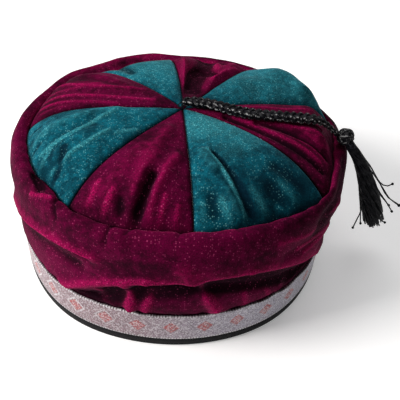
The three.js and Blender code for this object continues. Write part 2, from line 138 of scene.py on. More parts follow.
# finer wrinkles that only the dressed cap has, in the same columns
CROWN_WRINKLES = (
    Fold(162, 0.95, 146, 0.32, -0.07, 0.22, 0.24),
    Fold(173, 0.95, 164, 0.2, -0.02, 0.22, 0.24),
    Fold(177, 0.94, 180, 0.42, -0.01, 0.22, 0.24),
    Fold(168, 0.96, 160, 0.6, -0.04, 0.2, 0.14),
    Fold(181, 0.92, 181, 0.7, 0, 0.2, 0.16),
    Fold(209, 0.94, 196, 0.45, -0.02, 0.24, 0.34),
    Fold(219, 0.97, 217, 0.55, -0.01, 0.24, 0.3),
    Fold(214, 0.82, 222, 0.98, 0.02, 0.4, -0.55),
    Fold(221, 0.93, 219, 0.83, 0, 0.2, 0.24),
    Fold(213, 0.97, 210, 0.89, 0, 0.2, 0.24),
    Fold(201, 0.97, 197, 0.84, 0, 0.22, 0.2),
    Fold(222, 0.52, 228, 0.4, 0, 0.22, 0.2),
    Fold(337, 0.97, 341, 0.46, 0, 0.22, 0.22),
    Fold(334, 0.94, 343, 0.34, 0.01, 0.2, 0.2),
    Fold(345, 0.9, 350, 0.3, 0.02, 0.24, 0.24),
    Fold(351, 0.9, 357, 0.4, 0.01, 0.24, 0.24),
    Fold(2, 0.85, 3, 0.4, 0, 0.24, 0.2),
    Fold(86, 0.3, 79, 0.56, 0.03, 0.5, -1.4),
    Fold(79, 0.56, 64, 0.5, 0, 0.5, -1.1),
    Fold(91, 0.66, 89, 0.3, 0, 0.4, 1.0),
    Fold(60, 0.42, 57, 0.7, 0, 0.4, 0.8),
    Fold(82, 0.78, 66, 0.72, 0, 0.4, -0.8),
    Fold(70, 0.72, 66, 0.6, 0, 0.4, 0.6),
    Fold(240, 0.97, 239, 0.86, 0, 0.3, 0.34),
    Fold(246, 0.98, 246, 0.88, 0, 0.3, 0.34),
    Fold(264, 0.98, 265, 0.84, 0, 0.26, 0.28),
    Fold(269, 0.98, 270, 0.88, 0, 0.24, 0.24),
    Fold(278, 0.97, 278, 0.86, 0, 0.3, 0.2),
    Fold(287, 0.98, 285, 0.86, 0, 0.3, 0.2),
    Fold(292, 0.99, 287, 0.51, 0, 0.2, 0.5),
    Fold(294.5, 0.96, 289.5, 0.55, 0, 0.3, -0.7),
    Fold(299, 0.97, 297, 0.86, 0, 0.34, 0.1),
    Fold(311, 0.98, 309, 0.88, 0, 0.34, 0.1),
    Fold(204, 0.99, 203, 0.9, 0, 0.26, -0.3),
    Fold(192, 0.98, 192, 0.9, 0, 0.26, -0.3),
)

# painted pools of light on the crown's wedges, and two of painted shade where the strength is below 0
PAINTED_LIGHT_PATCHES = (
    PaintedLightPatch(298, 0.17, 0.12, 0.8),
    PaintedLightPatch(316, 0.32, 0.12, 0.75),
    PaintedLightPatch(320, 0.52, 0.12, 0.5),
    PaintedLightPatch(287, 0.32, 0.1, 0.45),
    PaintedLightPatch(302, 0.56, 0.12, 0.3),
    PaintedLightPatch(316, 0.8, 0.2, -0.22),
    PaintedLightPatch(301, 0.8, 0.1, -0.14),
    PaintedLightPatch(110, 0.62, 0.26, 0.62),
    PaintedLightPatch(31, 0.62, 0.28, 0.42),
    PaintedLightPatch(70, 0.5, 0.22, 0.35),
)

BAND_FOLDS = (
    Fold(158, 0.56, 190, 0.54, 0, 2.6, -1.8),
    Fold(106, 1.2, 142, 1.16, 0, 3, 1.3),
    Fold(8, 1.2, 40, 1.2, 0, 2.2, -1),
    Fold(321, 1.04, 344, 1.16, 0, 1.7, -1.9),
    Fold(203, 0.82, 246, 0.98, 0.04, 0.8, 0.9),
    Fold(206, 0.7, 240, 0.82, 0.04, 1, -0.7),
    Fold(234, 0.46, 332, 0.48, 0.45, 1.1, 0.8),
    Fold(242, 0.4, 322, 0.4, 0.4, 1.4, -1.6),
    Fold(272, 1, 285, 0.46, 0, 0.8, 1),
    Fold(257, 0.74, 258, 0.48, 0, 0.6, 0.7),
    Fold(304, 0.92, 336, 0.76, 0.02, 0.8, -0.7),
    Fold(318, 0.62, 345, 0.6, 0.02, 0.9, -0.6),
    Fold(8, 0.5, 30, 0.78, 0, 1.3, 0.8),
    Fold(48, 0.55, 80, 0.66, 0.04, 1.5, -0.8),
    Fold(66, 0.96, 122, 0.94, 0, 1.8, 0.7),
    Fold(128, 0.5, 160, 0.62, 0.03, 1.4, -0.7),
    Fold(165, 0.8, 192, 0.9, 0.02, 1.2, 0.4),
)

# finer folds of the band that only the dressed cap has
BAND_WRINKLES = (
    Fold(236, 0.48, 262, 0.86, 0.06, 0.4, 0.5),
    Fold(262, 0.86, 292, 0.9, 0, 0.4, 0.4),
    Fold(292, 0.9, 326, 0.56, 0.02, 0.4, 0.4),
    Fold(250, 0.64, 276, 0.8, 0.05, 0.5, -0.8),
    Fold(276, 0.76, 314, 0.5, 0.04, 0.5, -0.8),
    Fold(248, 0.6, 249, 0.45, 0, 0.5, 0.3),
    Fold(256, 0.74, 257, 0.47, 0.02, 0.55, 0.55),
    Fold(264, 0.74, 262, 0.47, 0, 0.45, 0.4),
    Fold(277, 0.8, 284, 0.52, 0.01, 0.4, 0.7),
    Fold(292, 0.66, 294, 0.46, 0, 0.3, 0.25),
    Fold(300, 0.6, 303, 0.45, 0, 0.3, 0.25),
    Fold(309, 0.92, 334, 0.74, 0.02, 0.28, 0.4),
    Fold(316, 1.04, 344, 0.84, 0.02, 0.28, 0.3),
    Fold(312, 0.84, 340, 0.66, 0.02, 0.26, 0.3),
    Fold(300, 1.1, 322, 0.94, 0.02, 0.26, 0.25),
    Fold(210, 0.82, 246, 0.99, 0.05, 0.26, 0.5),
    Fold(210, 0.77, 244, 0.92, 0.05, 0.4, -0.5),
    Fold(214, 1.32, 222, 1.26, 0, 0.4, -1.5),
    Fold(220, 1.18, 228, 1.28, 0, 0.2, 0.6),
    Fold(229, 1.31, 233, 1.17, 0, 0.22, -0.5),
    Fold(250, 1.32, 250, 1.14, 0, 0.24, -0.5),
    Fold(256, 1.32, 255, 1.25, 0, 0.2, -0.4),
    Fold(271, 1.33, 270, 1.27, 0, 0.2, -0.3),
    Fold(288, 1.33, 290, 1.26, 0, 0.2, -0.3),
    Fold(306, 1.3, 309, 1.2, 0, 0.2, -0.3),
    Fold(20, 1, 44, 0.92, 0.02, 0.5, -0.4),
    Fold(88, 0.8, 116, 0.74, 0.02, 0.5, -0.4),
    Fold(136, 0.9, 170, 0.82, 0.02, 0.5, 0.4),
)

# how far the crown seam wanders outwards from its circle, in millimetres, by angle
SEAM_WANDER = (
    (0, 0.0), (30, 0.0), (86, -0.5), (96, -3.2), (108, -4.4), (119, -4.2), (126, -7.5),
    (133, -7.0), (142, -3.5), (152, -0.5), (186, 0.6), (200, 0.0), (212, 0.4), (218, -1.2),
    (224, -0.8), (230, 1.2), (236, 2.2), (246, 1.9), (253, 1.4), (258, -0.6), (268, -1.6),
    (284, -1.4), (293, -0.4), (301, 1.2), (310, 3.4), (318, 5.0), (325, 5.2), (337, 2.0), (350, 0.0),
)

GORES = (
    Gore(Cloth.TEAL, 13, 11, 1.5),
    Gore(Cloth.BURGUNDY, 50, 55, 0.5),
    Gore(Cloth.TEAL, 90, 98, 0.45),
    Gore(Cloth.BURGUNDY, 124, 141, 1.1),
    Gore(Cloth.TEAL, 182, 184, 1.0),
    Gore(Cloth.BURGUNDY, 230, 233, 0.9),
    Gore(Cloth.TEAL, 275, 275, 1.1),
    Gore(Cloth.BURGUNDY, 344, 323, 0.9),
)

CORD_ROUTE = (
    (0.0002, 0.0009, 0.0936),
    (0.0064, 0.0, 0.094),
    (0.0136, -0.002, 0.0945),
    (0.0204, -0.005, 0.0948),
    (0.0262, -0.0082, 0.0951),
    (0.0322, -0.0107, 0.0954),
    (0.039, -0.0126, 0.0958),
    (0.0465, -0.0137, 0.096),
    (0.0544, -0.0142, 0.096),
    (0.0624, -0.0141, 0.0957),
    (0.0698, -0.0135, 0.095),
    (0.0754, -0.0124, 0.0928),
    (0.0796, -0.011, 0.0895),
    (0.0828, -0.01, 0.0866),
    (0.0857, -0.0098, 0.0843),
)
KNOT_CENTRE = (0.0908, -0.0104, 0.0827)
SKIRT_LINE = (
    (0.0945, -0.0132, 0.078),
    (0.1016, -0.014, 0.0689),
    (0.1095, -0.014, 0.0542),
    (0.1164, -0.014, 0.0389),
    (0.1228, -0.014, 0.0216),
)


def smoothstep(value: np.ndarray, low: float, high: float) -> np.ndarray:
    """Ease from 0 at `low` to 1 at `high`.

    Args:
        value: What is eased.
        low: Where it starts.
        high: Where it ends.

    Returns:
        The eased share of each value.
    """
    share = np.clip((value - low) / (high - low), 0, 1)
    return share * share * (3 - 2 * share)


def soft_noise(points: np.ndarray, size: float, seed: float) -> np.ndarray:
    """Smooth bumps over points in millimetres.

    Args:
        points: One row of x, y and z for each point.
        size: How wide a bump is, in millimetres.
        seed: Moves the pattern to another place.

    Returns:
        A value for each point, from about -1 to 1.
    """
    away = Vector((seed, seed * 1.7, seed * 0.3))
    return np.array([noise.noise(Vector(point) / size + away) for point in points])


def new_sheet(columns: int, rows: int) -> bmesh.types.BMesh:
    """Make a flat grid from 0 to 1 in x and y, with the same places kept as its UV map.

    Args:
        columns: Divisions along x.
        rows: Divisions along y.

    Returns:
        The new bmesh.
    """
    sheet = bmesh.new()
    sheet.loops.layers.uv.new("UVMap")
    bmesh.ops.create_grid(sheet, x_segments=columns, y_segments=rows, size=0.5, calc_uvs=True)
    bmesh.ops.translate(sheet, verts=sheet.verts[:], vec=(0.5, 0.5, 0))
    return sheet


def thicken(sheet: bmesh.types.BMesh) -> None:
    """Give a flat sheet a second layer at z = -1, joined to it all round.

    Args:
        sheet: The sheet at z = 0.
    """
    made = bmesh.ops.extrude_face_region(sheet, geom=sheet.faces[:], use_keep_orig=True)
    lower = [item for item in made["geom"] if isinstance(item, bmesh.types.BMVert)]
    bmesh.ops.translate(sheet, verts=lower, vec=(0, 0, -1))


def close_ring(sheet: bmesh.types.BMesh) -> None:
    """Join the edges of a sheet that meet where it is carried round into a ring.

    Args:
        sheet: The sheet, already carried to its place.
    """
    rim = [vert for vert in sheet.verts if vert.is_boundary]
    bmesh.ops.remove_doubles(sheet, verts=rim, dist=2e-6)


def pick_rows(section: Sequence[tuple], share: np.ndarray) -> np.ndarray:
    """Pick the points of a closed section that a ring's grid stands for.

    Args:
        section: The section's points, in order.
        share: How far round the section each vertex lies, from 0 to 1.

    Returns:
        One point of the section for each vertex.
    """
    index = np.rint(share * len(section)).astype(int) % len(section)
    return np.array(section)[index]


def uneven_wave(angle: np.ndarray, count: int, drift: float, drifts: int) -> np.ndarray:
    """Wave round the cap whose spacing wanders.

    Args:
        angle: Angles in radians.
        count: How many waves go round.
        drift: How far they wander, in radians of the wave.
        drifts: How often they wander to and fro.

    Returns:
        A value from -1 to 1 at each angle.
    """
    return np.sin(count * angle + drift * np.sin(drifts * angle))


def eased_table(degrees: np.ndarray, rows: Sequence[tuple]) -> np.ndarray:
    """Read a round table of angle and value with soft passages between its rows.

    Args:
        degrees: Where it is read.
        rows: Angle and value, with the angles rising from 0.

    Returns:
        The value at each angle.
    """
    angles = np.array([row[0] for row in rows] + [360.0])
    values = np.array([row[1] for row in rows] + [rows[0][1]])
    around = degrees % 360
    low = np.clip(np.searchsorted(angles, around, side="right") - 1, 0, len(rows) - 1)
    share = (around - angles[low]) / (angles[low + 1] - angles[low])
    return values[low] + (values[low + 1] - values[low]) * share * share * (3 - 2 * share)


def carry(sheet: bmesh.types.BMesh, place: Callable[[np.ndarray], np.ndarray]) -> None:
    """Carry every vertex to its place on the cap.

    Args:
        sheet: The mesh whose vertices are moved.
        place: Takes rows of x, y, z and gives rows of x, y, z in millimetres.
    """
    flat = np.array([vert.co[:] for vert in sheet.verts])
    for vert, spot in zip(sheet.verts, place(flat) * MM):
        vert.co = spot


def finish_piece(
    sheet: bmesh.types.BMesh, name: str, material: bpy.types.Material
) -> bpy.types.Object:
    """Turn a bmesh into a smooth piece that rides on the cap.

    Args:
        sheet: The finished mesh, freed here.
        name: The piece's name.
        material: Its finish.

    Returns:
        The new piece.
    """
    bmesh.ops.recalc_face_normals(sheet, faces=sheet.faces[:])
    mesh = bpy.data.meshes.new(name)
    sheet.to_mesh(mesh)
    sheet.free()
    mesh.shade_smooth()
    mesh.materials.append(material)
    piece = bpy.data.objects.new(name, mesh)
    bpy.context.scene.collection.objects.link(piece)
    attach(piece, "root")
    return piece


@dataclass
class CapForm:
    """The cap's own form, in millimetres: its rings, its lean and its folds."""

    rim_radius_x: float = 93.0
    rim_radius_y: float = 91.8
    lean_x: float = -2.2
    lean_y: float = -0.8
    rim_swell: float = 2.2
    bulge_radius: float = 95.6
    bulge_height: float = 64.0
    shoulder_radius: float = 89.5
    shoulder_height: float = 78.0
    crown_radius: float = 85.5
    seam_height: float = 75.0
    crown_top: float = 90.0
    dome_power: float = 5.4
    tip_radius: float = 0.6
    crown_swell_size: float = 5.0
    puff: float = 5.0
    puff_round: float = 0.7
    puff_growth: float = 0.8
    puff_edge: float = 14.0
    cloth: float = 1.8
    ribbon_width: float = 19.8
    ribbon_wall: float = 1.0
    ribbon_wave: float = 1.2
    ribbon_waves: int = 7
    binding_height: float = 5.5
    binding_wall: float = 1.0
    fold_width: float = 5.0
    fold_lift: float = 2.0
    band_fade_from: float = 8.0
    band_fade_to: float = 3.5
    crown_fade: float = 0.08
    clearance: float = 0.3
    side_profile: tuple = (
        (0.0, 0.0), (0.06, 0.4), (0.2, 0.6), (0.36, 0.7), (0.54, 0.82), (0.72, 0.93),
        (0.87, 0.98), (1.0, 1.0),
    )
    rim_corners: tuple = ((234, 20, 0.8), (308, 20, 0.6))
    crown_corners: tuple = ((21, 20, 1.6),)
    bulge_swell: float = 4.0
    bulge_corners: tuple = ((21, 18, 1.0),)
    crown_slump_size: float = 5.0
    crown_slumps: tuple = ((22, 20, 1.0),)
    slump_edge: float = 10.0
    shoulder_follow: float = 0.55

    @property
    def rim_cover(self) -> float:
        """How far the binding stands out from the cloth."""
        return self.binding_wall + self.clearance

    @property
    def ribbon_bottom(self) -> float:
        """Height of the ribbon's lower edge."""
        return self.binding_height + self.clearance

    @property
    def ribbon_top(self) -> float:
        """Height of the ribbon's upper edge."""
        return self.ribbon_bottom + self.ribbon_width

    def corner_share(self, corners: Sequence[tuple], angle: np.ndarray) -> np.ndarray:
        """Sum of the corners' shares.

        Args:
            corners: Rows of angle, spread and share.
            angle: Angles in radians.

        Returns:
            The share at each angle.
        """
        total = np.zeros_like(angle)
        for middle, spread, share in corners:
            off = (np.degrees(angle) - middle + 180) % 360 - 180
            total += share * np.exp(-((off / spread) ** 2))
        return total

    def rim_radius(self, angle: np.ndarray) -> np.ndarray:
        """Radius of the cloth at the rim.

        Args:
            angle: Angles in radians.

        Returns:
            The radius at each angle.
        """
        oval = np.hypot(
            (self.rim_radius_x - self.rim_cover) * np.cos(angle),
            (self.rim_radius_y - self.rim_cover) * np.sin(angle),
        )
        return oval + self.rim_swell * self.corner_share(self.rim_corners, angle)

    def crown_swell(self, angle: np.ndarray) -> np.ndarray:
        """How far the crown seam is pushed out of its circle."""
        swell = self.crown_swell_size * self.corner_share(self.crown_corners, angle)
        return swell + eased_table(np.degrees(angle), SEAM_WANDER)

    def crown_slump(self, angle: np.ndarray) -> np.ndarray:
        """How far the crown seam hangs down where the crown leans over the side."""
        return self.crown_slump_size * self.corner_share(self.crown_slumps, angle)

    def leaning(self, angle: np.ndarray, radius: np.ndarray, height: np.ndarray) -> np.ndarray:
        """Points round the leaning cap's middle.

        Args:
            angle: Angles in radians.
            radius: Distances from the middle.
            height: Heights over the floor.

        Returns:
            Rows of x, y and z.
        """
        lean = 1 - smoothstep(height, self.ribbon_top, self.bulge_height)
        return np.column_stack(
            (
                lean * self.lean_x + radius * np.cos(angle),
                lean * self.lean_y + radius * np.sin(angle),
                height,
            )
        )

    def lift(self, lines: np.ndarray, x: np.ndarray, y: np.ndarray) -> np.ndarray:
        """How far folds lift the cloth.

        Args:
            lines: Rows of both ends, bow, width and height, in millimetres.
            x: Where on the flat plan.
            y: Where on the flat plan.

        Returns:
            The lift at each spot, in millimetres.
        """
        total = np.zeros_like(x)
        for x0, y0, x1, y1, bow, width, height in lines:
            length = math.hypot(x1 - x0, y1 - y0)
            ux, uy = (x1 - x0) / length, (y1 - y0) / length
            along = ((x - x0) * ux + (y - y0) * uy) / length
            across = (y - y0) * ux - (x - x0) * uy
            inside = np.clip(along, 0, 1)
            past = (along - inside) * length
            aside = across - bow * 4 * inside * (1 - inside)
            total += height * np.exp(-(aside * aside + past * past) / (width * width))
        return total

    def crown_lines(self, folds: Sequence[Fold]) -> np.ndarray:
        """Lay the crown's folds on its plan.

        Args:
            folds: The folds.

        Returns:
            Rows of both ends, bow, width and height.
        """
        rows = []
        for fold in folds:
            ends = []
            for angle, reach in ((fold.start, fold.near), (fold.end, fold.far)):
                turn = math.radians(angle)
                ends += [
                    math.cos(turn) * reach * self.crown_radius,
                    math.sin(turn) * reach * self.crown_radius,
                ]
            rows.append(
                ends
                + [
                    fold.bow * self.crown_radius,
                    fold.width * self.fold_width,
                    fold.lift * self.fold_lift,
                ]
            )
        return np.array(rows)

    def band_lines(self, folds: Sequence[Fold]) -> np.ndarray:
        """Lay the band's folds on its unrolled cloth, a turn ahead and a turn behind too.

        Args:
            folds: The folds.

        Returns:
            Rows of both ends, bow, width and height.
        """
        rows = []
        for fold in folds:
            end = fold.end + 360 if fold.end < fold.start - 180 else fold.end
            for turn in (-360, 0, 360):
                rows.append(
                    [
                        math.radians(fold.start + turn) * self.bulge_radius,
                        fold.near * self.bulge_height,
                        math.radians(end + turn) * self.bulge_radius,
                        fold.far * self.bulge_height,
                        fold.bow * self.bulge_height,
                        fold.width * self.fold_width,
                        fold.lift * self.fold_lift,
                    ]
                )
        return np.array(rows)


@dataclass
class Wiring:
    """Adds nodes to one node tree and joins them."""

    tree: bpy.types.NodeTree

    def add(self, kind: str, **settings: object) -> bpy.types.Node:
        """Add a node.

        Args:
            kind: Its type name.
            **settings: Its own settings.

        Returns:
            The new node.
        """
        node = self.tree.nodes.new(kind)
        for key, value in settings.items():
            setattr(node, key, value)
        return node

    def feed(self, socket: Socket, value: Feed) -> None:
        """Join a socket to another, or set its value.

        Args:
            socket: The input that is fed.
            value: An output to join it to, or a value.
        """
        if isinstance(value, Socket):
            self.tree.links.new(value, socket)
        else:
            socket.default_value = value

    def math(self, operation: str, *values: Feed, clamp: bool = False) -> Socket:
        """Add a Math node.

        Args:
            operation: Its operation.
            *values: What its inputs are fed with.
            clamp: Whether the result stays between 0 and 1.

        Returns:
            Its output.
        """
        node = self.add("ShaderNodeMath", operation=operation, use_clamp=clamp)
        for socket, value in zip(node.inputs, values):
            self.feed(socket, value)
        return node.outputs[0]

    def mix(self, share: Feed, first: Feed, second: Feed, blend: str = "MIX") -> Socket:
        """Add a Mix node for colours.

        Args:
            share: How much of the second colour.
            first: The first colour.
            second: The second colour.
            blend: How they are mixed.

        Returns:
            The mixed colour.
        """
        node = self.add("ShaderNodeMix", data_type="RGBA", blend_type=blend)
        self.feed(node.inputs[0], share)
        self.feed(node.inputs[6], first)
        self.feed(node.inputs[7], second)
        return node.outputs[2]

    def ease(self, value: Feed, low: float, high: float) -> Socket:
        """Add a Map Range node that eases from 0 at `low` to 1 at `high`.

        Args:
            value: What is eased.
            low: Where it starts.
            high: Where it ends.

        Returns:
            The eased share.
        """
        node = self.add("ShaderNodeMapRange", interpolation_type="SMOOTHSTEP")
        self.feed(node.inputs["Value"], value)
        node.inputs["From Min"].default_value = low
        node.inputs["From Max"].default_value = high
        return node.outputs["Result"]

    def scaled(self, place: Socket, size: tuple) -> Socket:
        """Scale a place before a texture reads it.

        Args:
            place: The place.
            size: Its scale along each axis.

        Returns:
            The scaled place.
        """
        node = self.add("ShaderNodeMapping")
        self.feed(node.inputs["Vector"], place)
        node.inputs["Scale"].default_value = size
        return node.outputs["Vector"]

    def cloud(self, place: Socket, scale: Feed, detail: float = 2.0, rough: float = 0.5) -> Socket:
        """Add a Noise texture.

        Args:
            place: Where it is read.
            scale: Its scale.
            detail: Its detail.
            rough: Its roughness.

        Returns:
            Its value.
        """
        node = self.add("ShaderNodeTexNoise")
        self.feed(node.inputs["Vector"], place)
        self.feed(node.inputs["Scale"], scale)
        node.inputs["Detail"].default_value = detail
        node.inputs["Roughness"].default_value = rough
        return node.outputs[0]

    def cells(self, place: Socket, scale: Feed) -> tuple[Socket, Socket]:
        """Add a Voronoi texture.

        Args:
            place: Where it is read.
            scale: Its scale.

        Returns:
            The distance to the nearest cell's middle, and that cell's random value.
        """
        node = self.add("ShaderNodeTexVoronoi")
        self.feed(node.inputs["Vector"], place)
        self.feed(node.inputs["Scale"], scale)
        parts = self.add("ShaderNodeSeparateColor")
        self.feed(parts.inputs[0], node.outputs["Color"])
        return node.outputs["Distance"], parts.outputs[0]

    def bump(self, height: Socket, strength: float, depth: float) -> Socket:
        """Add a Bump node.

        Args:
            height: The relief.
            strength: How strongly it shows.
            depth: How deep it is, in metres.

        Returns:
            The bumped normal.
        """
        node = self.add("ShaderNodeBump")
        self.feed(node.inputs["Height"], height)
        node.inputs["Strength"].default_value = strength
        node.inputs["Distance"].default_value = depth
        return node.outputs["Normal"]

    def shaded(self, colour: Socket, shade: Socket) -> Socket:
        """Darken a colour by a grey.

        Args:
            colour: The colour.
            shade: How light the grey is.

        Returns:
            The darkened colour.
        """
        grey = self.add("ShaderNodeCombineColor")
        for socket in grey.inputs:
            self.feed(socket, shade)
        return self.mix(1.0, colour, grey.outputs[0], "MULTIPLY")


def new_group(name: str, inputs: dict[str, float], outputs: Sequence[str]) -> tuple:
    """Start a shader node group.

    Args:
        name: The group's name.
        inputs: Its number inputs with their defaults. It also gets a Vector.
        outputs: Its number outputs.

    Returns:
        The group, its wiring, its input node and its output node.
    """
    group = bpy.data.node_groups.new(name, "ShaderNodeTree")
    group.interface.new_socket("Vector", in_out="INPUT", socket_type="NodeSocketVector")
    for label, value in inputs.items():
        socket = group.interface.new_socket(label, in_out="INPUT", socket_type="NodeSocketFloat")
        socket.default_value = value
    for label in outputs:
        group.interface.new_socket(label, in_out="OUTPUT", socket_type="NodeSocketFloat")
    wiring = Wiring(group)
    return group, wiring, wiring.add("NodeGroupInput"), wiring.add("NodeGroupOutput")


@dataclass
class SharedEffects:
    """Node groups that more than one finish uses."""

    pile: bpy.types.NodeTree = field(init=False)
    weave: bpy.types.NodeTree = field(init=False)

    def __post_init__(self) -> None:
        """Build the groups once."""
        self.pile = self.velvet_pile()
        self.weave = self.thread_weave()

    def velvet_pile(self) -> bpy.types.NodeTree:
        """Cut pile: fine tufts, patches of differing tone and sparse glints.

        Returns:
            The group.
        """
        group, wiring, given, out = new_group(
            "velvet_pile",
            {"Tuft Scale": 1900.0, "Patch Scale": 60.0, "Glint Share": 0.12},
            ("Tuft", "Patch", "Glint"),
        )
        place = given.outputs["Vector"]
        tuft = wiring.cloud(place, given.outputs["Tuft Scale"], 3.0, 0.7)
        broad = wiring.cloud(place, given.outputs["Patch Scale"], 4.0, 0.62)
        fine_scale = wiring.math("MULTIPLY", given.outputs["Patch Scale"], 6.0)
        fine = wiring.cloud(place, fine_scale, 3.0, 0.6)
        wide_scale = wiring.math("MULTIPLY", given.outputs["Patch Scale"], 0.4)
        wide = wiring.cloud(place, wide_scale, 2.0, 0.5)
        patch = wiring.math("MULTIPLY_ADD", fine, 0.3, wiring.math("MULTIPLY", broad, 0.35))
        patch = wiring.math("MULTIPLY_ADD", wide, 0.35, patch)
        glint_scale = wiring.math("MULTIPLY", given.outputs["Tuft Scale"], 0.74)
        distance, chance = wiring.cells(place, glint_scale)
        lucky = wiring.math("LESS_THAN", chance, given.outputs["Glint Share"])
        near = wiring.math("SUBTRACT", 1.0, wiring.math("MULTIPLY", distance, 2.2), clamp=True)
        wiring.feed(out.inputs["Tuft"], tuft)
        wiring.feed(out.inputs["Patch"], patch)
        wiring.feed(out.inputs["Glint"], wiring.math("MULTIPLY", lucky, near))
        return group

    def thread_weave(self) -> bpy.types.NodeTree:
        """Crossing threads over a UV map in millimetres.

        Returns:
            The group.
        """
        group, wiring, given, out = new_group(
            "thread_weave", {"Warp Size": 0.5, "Weft Size": 0.5}, ("Height", "Over")
        )
        parts = wiring.add("ShaderNodeSeparateXYZ")
        wiring.feed(parts.inputs[0], given.outputs["Vector"])
        turns = 2 * math.pi
        warp = wiring.math("DIVIDE", parts.outputs["X"], given.outputs["Warp Size"])
        weft = wiring.math("DIVIDE", parts.outputs["Y"], given.outputs["Weft Size"])
        warp_wave = wiring.math("SINE", wiring.math("MULTIPLY", warp, turns))
        weft_wave = wiring.math("SINE", wiring.math("MULTIPLY", weft, turns))
        over = wiring.math("MULTIPLY", warp_wave, weft_wave)
        ribs = wiring.math("ADD", wiring.math("ABSOLUTE", warp_wave), wiring.math("ABSOLUTE", weft_wave))
        wiring.feed(out.inputs["Height"], wiring.math("MULTIPLY", ribs, 0.5))
        wiring.feed(out.inputs["Over"], wiring.math("MULTIPLY_ADD", over, 0.5, 0.5))
        return group


def start_material(name: str) -> tuple:
    """Start a material.

    Args:
        name: Its name.

    Returns:
        The material, its wiring and its Principled shader.
    """
    material = bpy.data.materials.new(name)
    material.use_nodes = True
    wiring = Wiring(material.node_tree)
    shader = material.node_tree.nodes["Principled BSDF"]
    return material, wiring, shader


def place_group(wiring: Wiring, group: bpy.types.NodeTree, place: Socket, **values: float) -> bpy.types.Node:
    """Place a shared effect in a material.

    Args:
        wiring: The material's wiring.
        group: The effect.
        place: Where it is read.
        **values: Its inputs, with underscores for spaces.

    Returns:
        The group's node.
    """
    node = wiring.add("ShaderNodeGroup", node_tree=group)
    wiring.feed(node.inputs["Vector"], place)
    for key, value in values.items():
        node.inputs[key.replace("_", " ")].default_value = value
    return node


@dataclass(frozen=True)
class VelvetFinish:
    """Cut velvet with painted shade in its creases, painted highlights on its ridges and wrinkle tops,
    painted glints and a tinted sheen.
    """

    name: str
    # deep is the pile's dark tone in its patches and also the painted shade in creases and seams
    deep: Colour
    body: Colour
    # lit is the painted highlight colour and glint the painted glint colour
    lit: Colour
    glint: Colour
    sheen: Colour
    sheen_weight: float
    glint_share: float
    glint_strength: float

    def material(self, shared: SharedEffects) -> bpy.types.Material:
        """Build the material.

        Args:
            shared: The shared node groups.

        Returns:
            The material.
        """
        material, wiring, shader = start_material(self.name)
        place = wiring.add("ShaderNodeTexCoord").outputs["Object"]
        pile = place_group(
            wiring, shared.pile, place, Tuft_Scale=1500.0, Patch_Scale=48.0, Glint_Share=self.glint_share
        )
        fold = wiring.add("ShaderNodeAttribute", attribute_name="fold").outputs["Fac"]
        crest = wiring.add("ShaderNodeAttribute", attribute_name="crest").outputs["Fac"]
        patch = wiring.ease(pile.outputs["Patch"], 0.4, 0.6)
        tuft = wiring.ease(pile.outputs["Tuft"], 0.3, 0.72)
        colour = wiring.mix(wiring.math("MULTIPLY_ADD", patch, 0.8, 0.2), self.deep, self.body)
        # painted highlight: the lit colour is painted on the relief's ridges, more in the lighter patches,
        # and on wrinkle tops, puckers, the band's lip and the painted pools of light
        lighter_patch = wiring.math("MULTIPLY_ADD", patch, 0.3, 0.1)
        ridge = wiring.math("MULTIPLY", wiring.ease(fold, 0.55, 1.0), lighter_patch)
        bright = wiring.math("MULTIPLY", crest, wiring.math("MULTIPLY_ADD", tuft, 0.5, 0.2))
        colour = wiring.mix(wiring.math("MAXIMUM", ridge, bright), colour, self.lit)
        # painted shade: the deep colour is painted where the relief sinks into creases, seam grooves and
        # painted pools of shade
        crease = wiring.math("SUBTRACT", 1.0, wiring.ease(fold, 0.02, 0.5))
        colour = wiring.mix(wiring.math("MULTIPLY", crease, 0.9), colour, self.deep)
        colour = wiring.shaded(colour, wiring.math("MULTIPLY_ADD", tuft, 0.7, 0.62))
        glint = wiring.math("MULTIPLY", pile.outputs["Glint"], self.glint_strength)
        spread = wiring.math("MULTIPLY_ADD", crest, 0.6, wiring.ease(pile.outputs["Patch"], 0.4, 0.62))
        glint = wiring.math("MULTIPLY", glint, spread)
        colour = wiring.mix(glint, colour, self.glint)
        wiring.feed(shader.inputs["Base Color"], colour)
        wiring.feed(shader.inputs["Roughness"], wiring.math("MULTIPLY_ADD", tuft, -0.15, 0.95))
        shader.inputs["Specular IOR Level"].default_value = 0.04
        shader.inputs["Sheen Weight"].default_value = self.sheen_weight
        shader.inputs["Sheen Roughness"].default_value = 0.22
        shader.inputs["Sheen Tint"].default_value = self.sheen
        wiring.feed(shader.inputs["Normal"], wiring.bump(pile.outputs["Tuft"], 0.5, 0.0006))
        return material


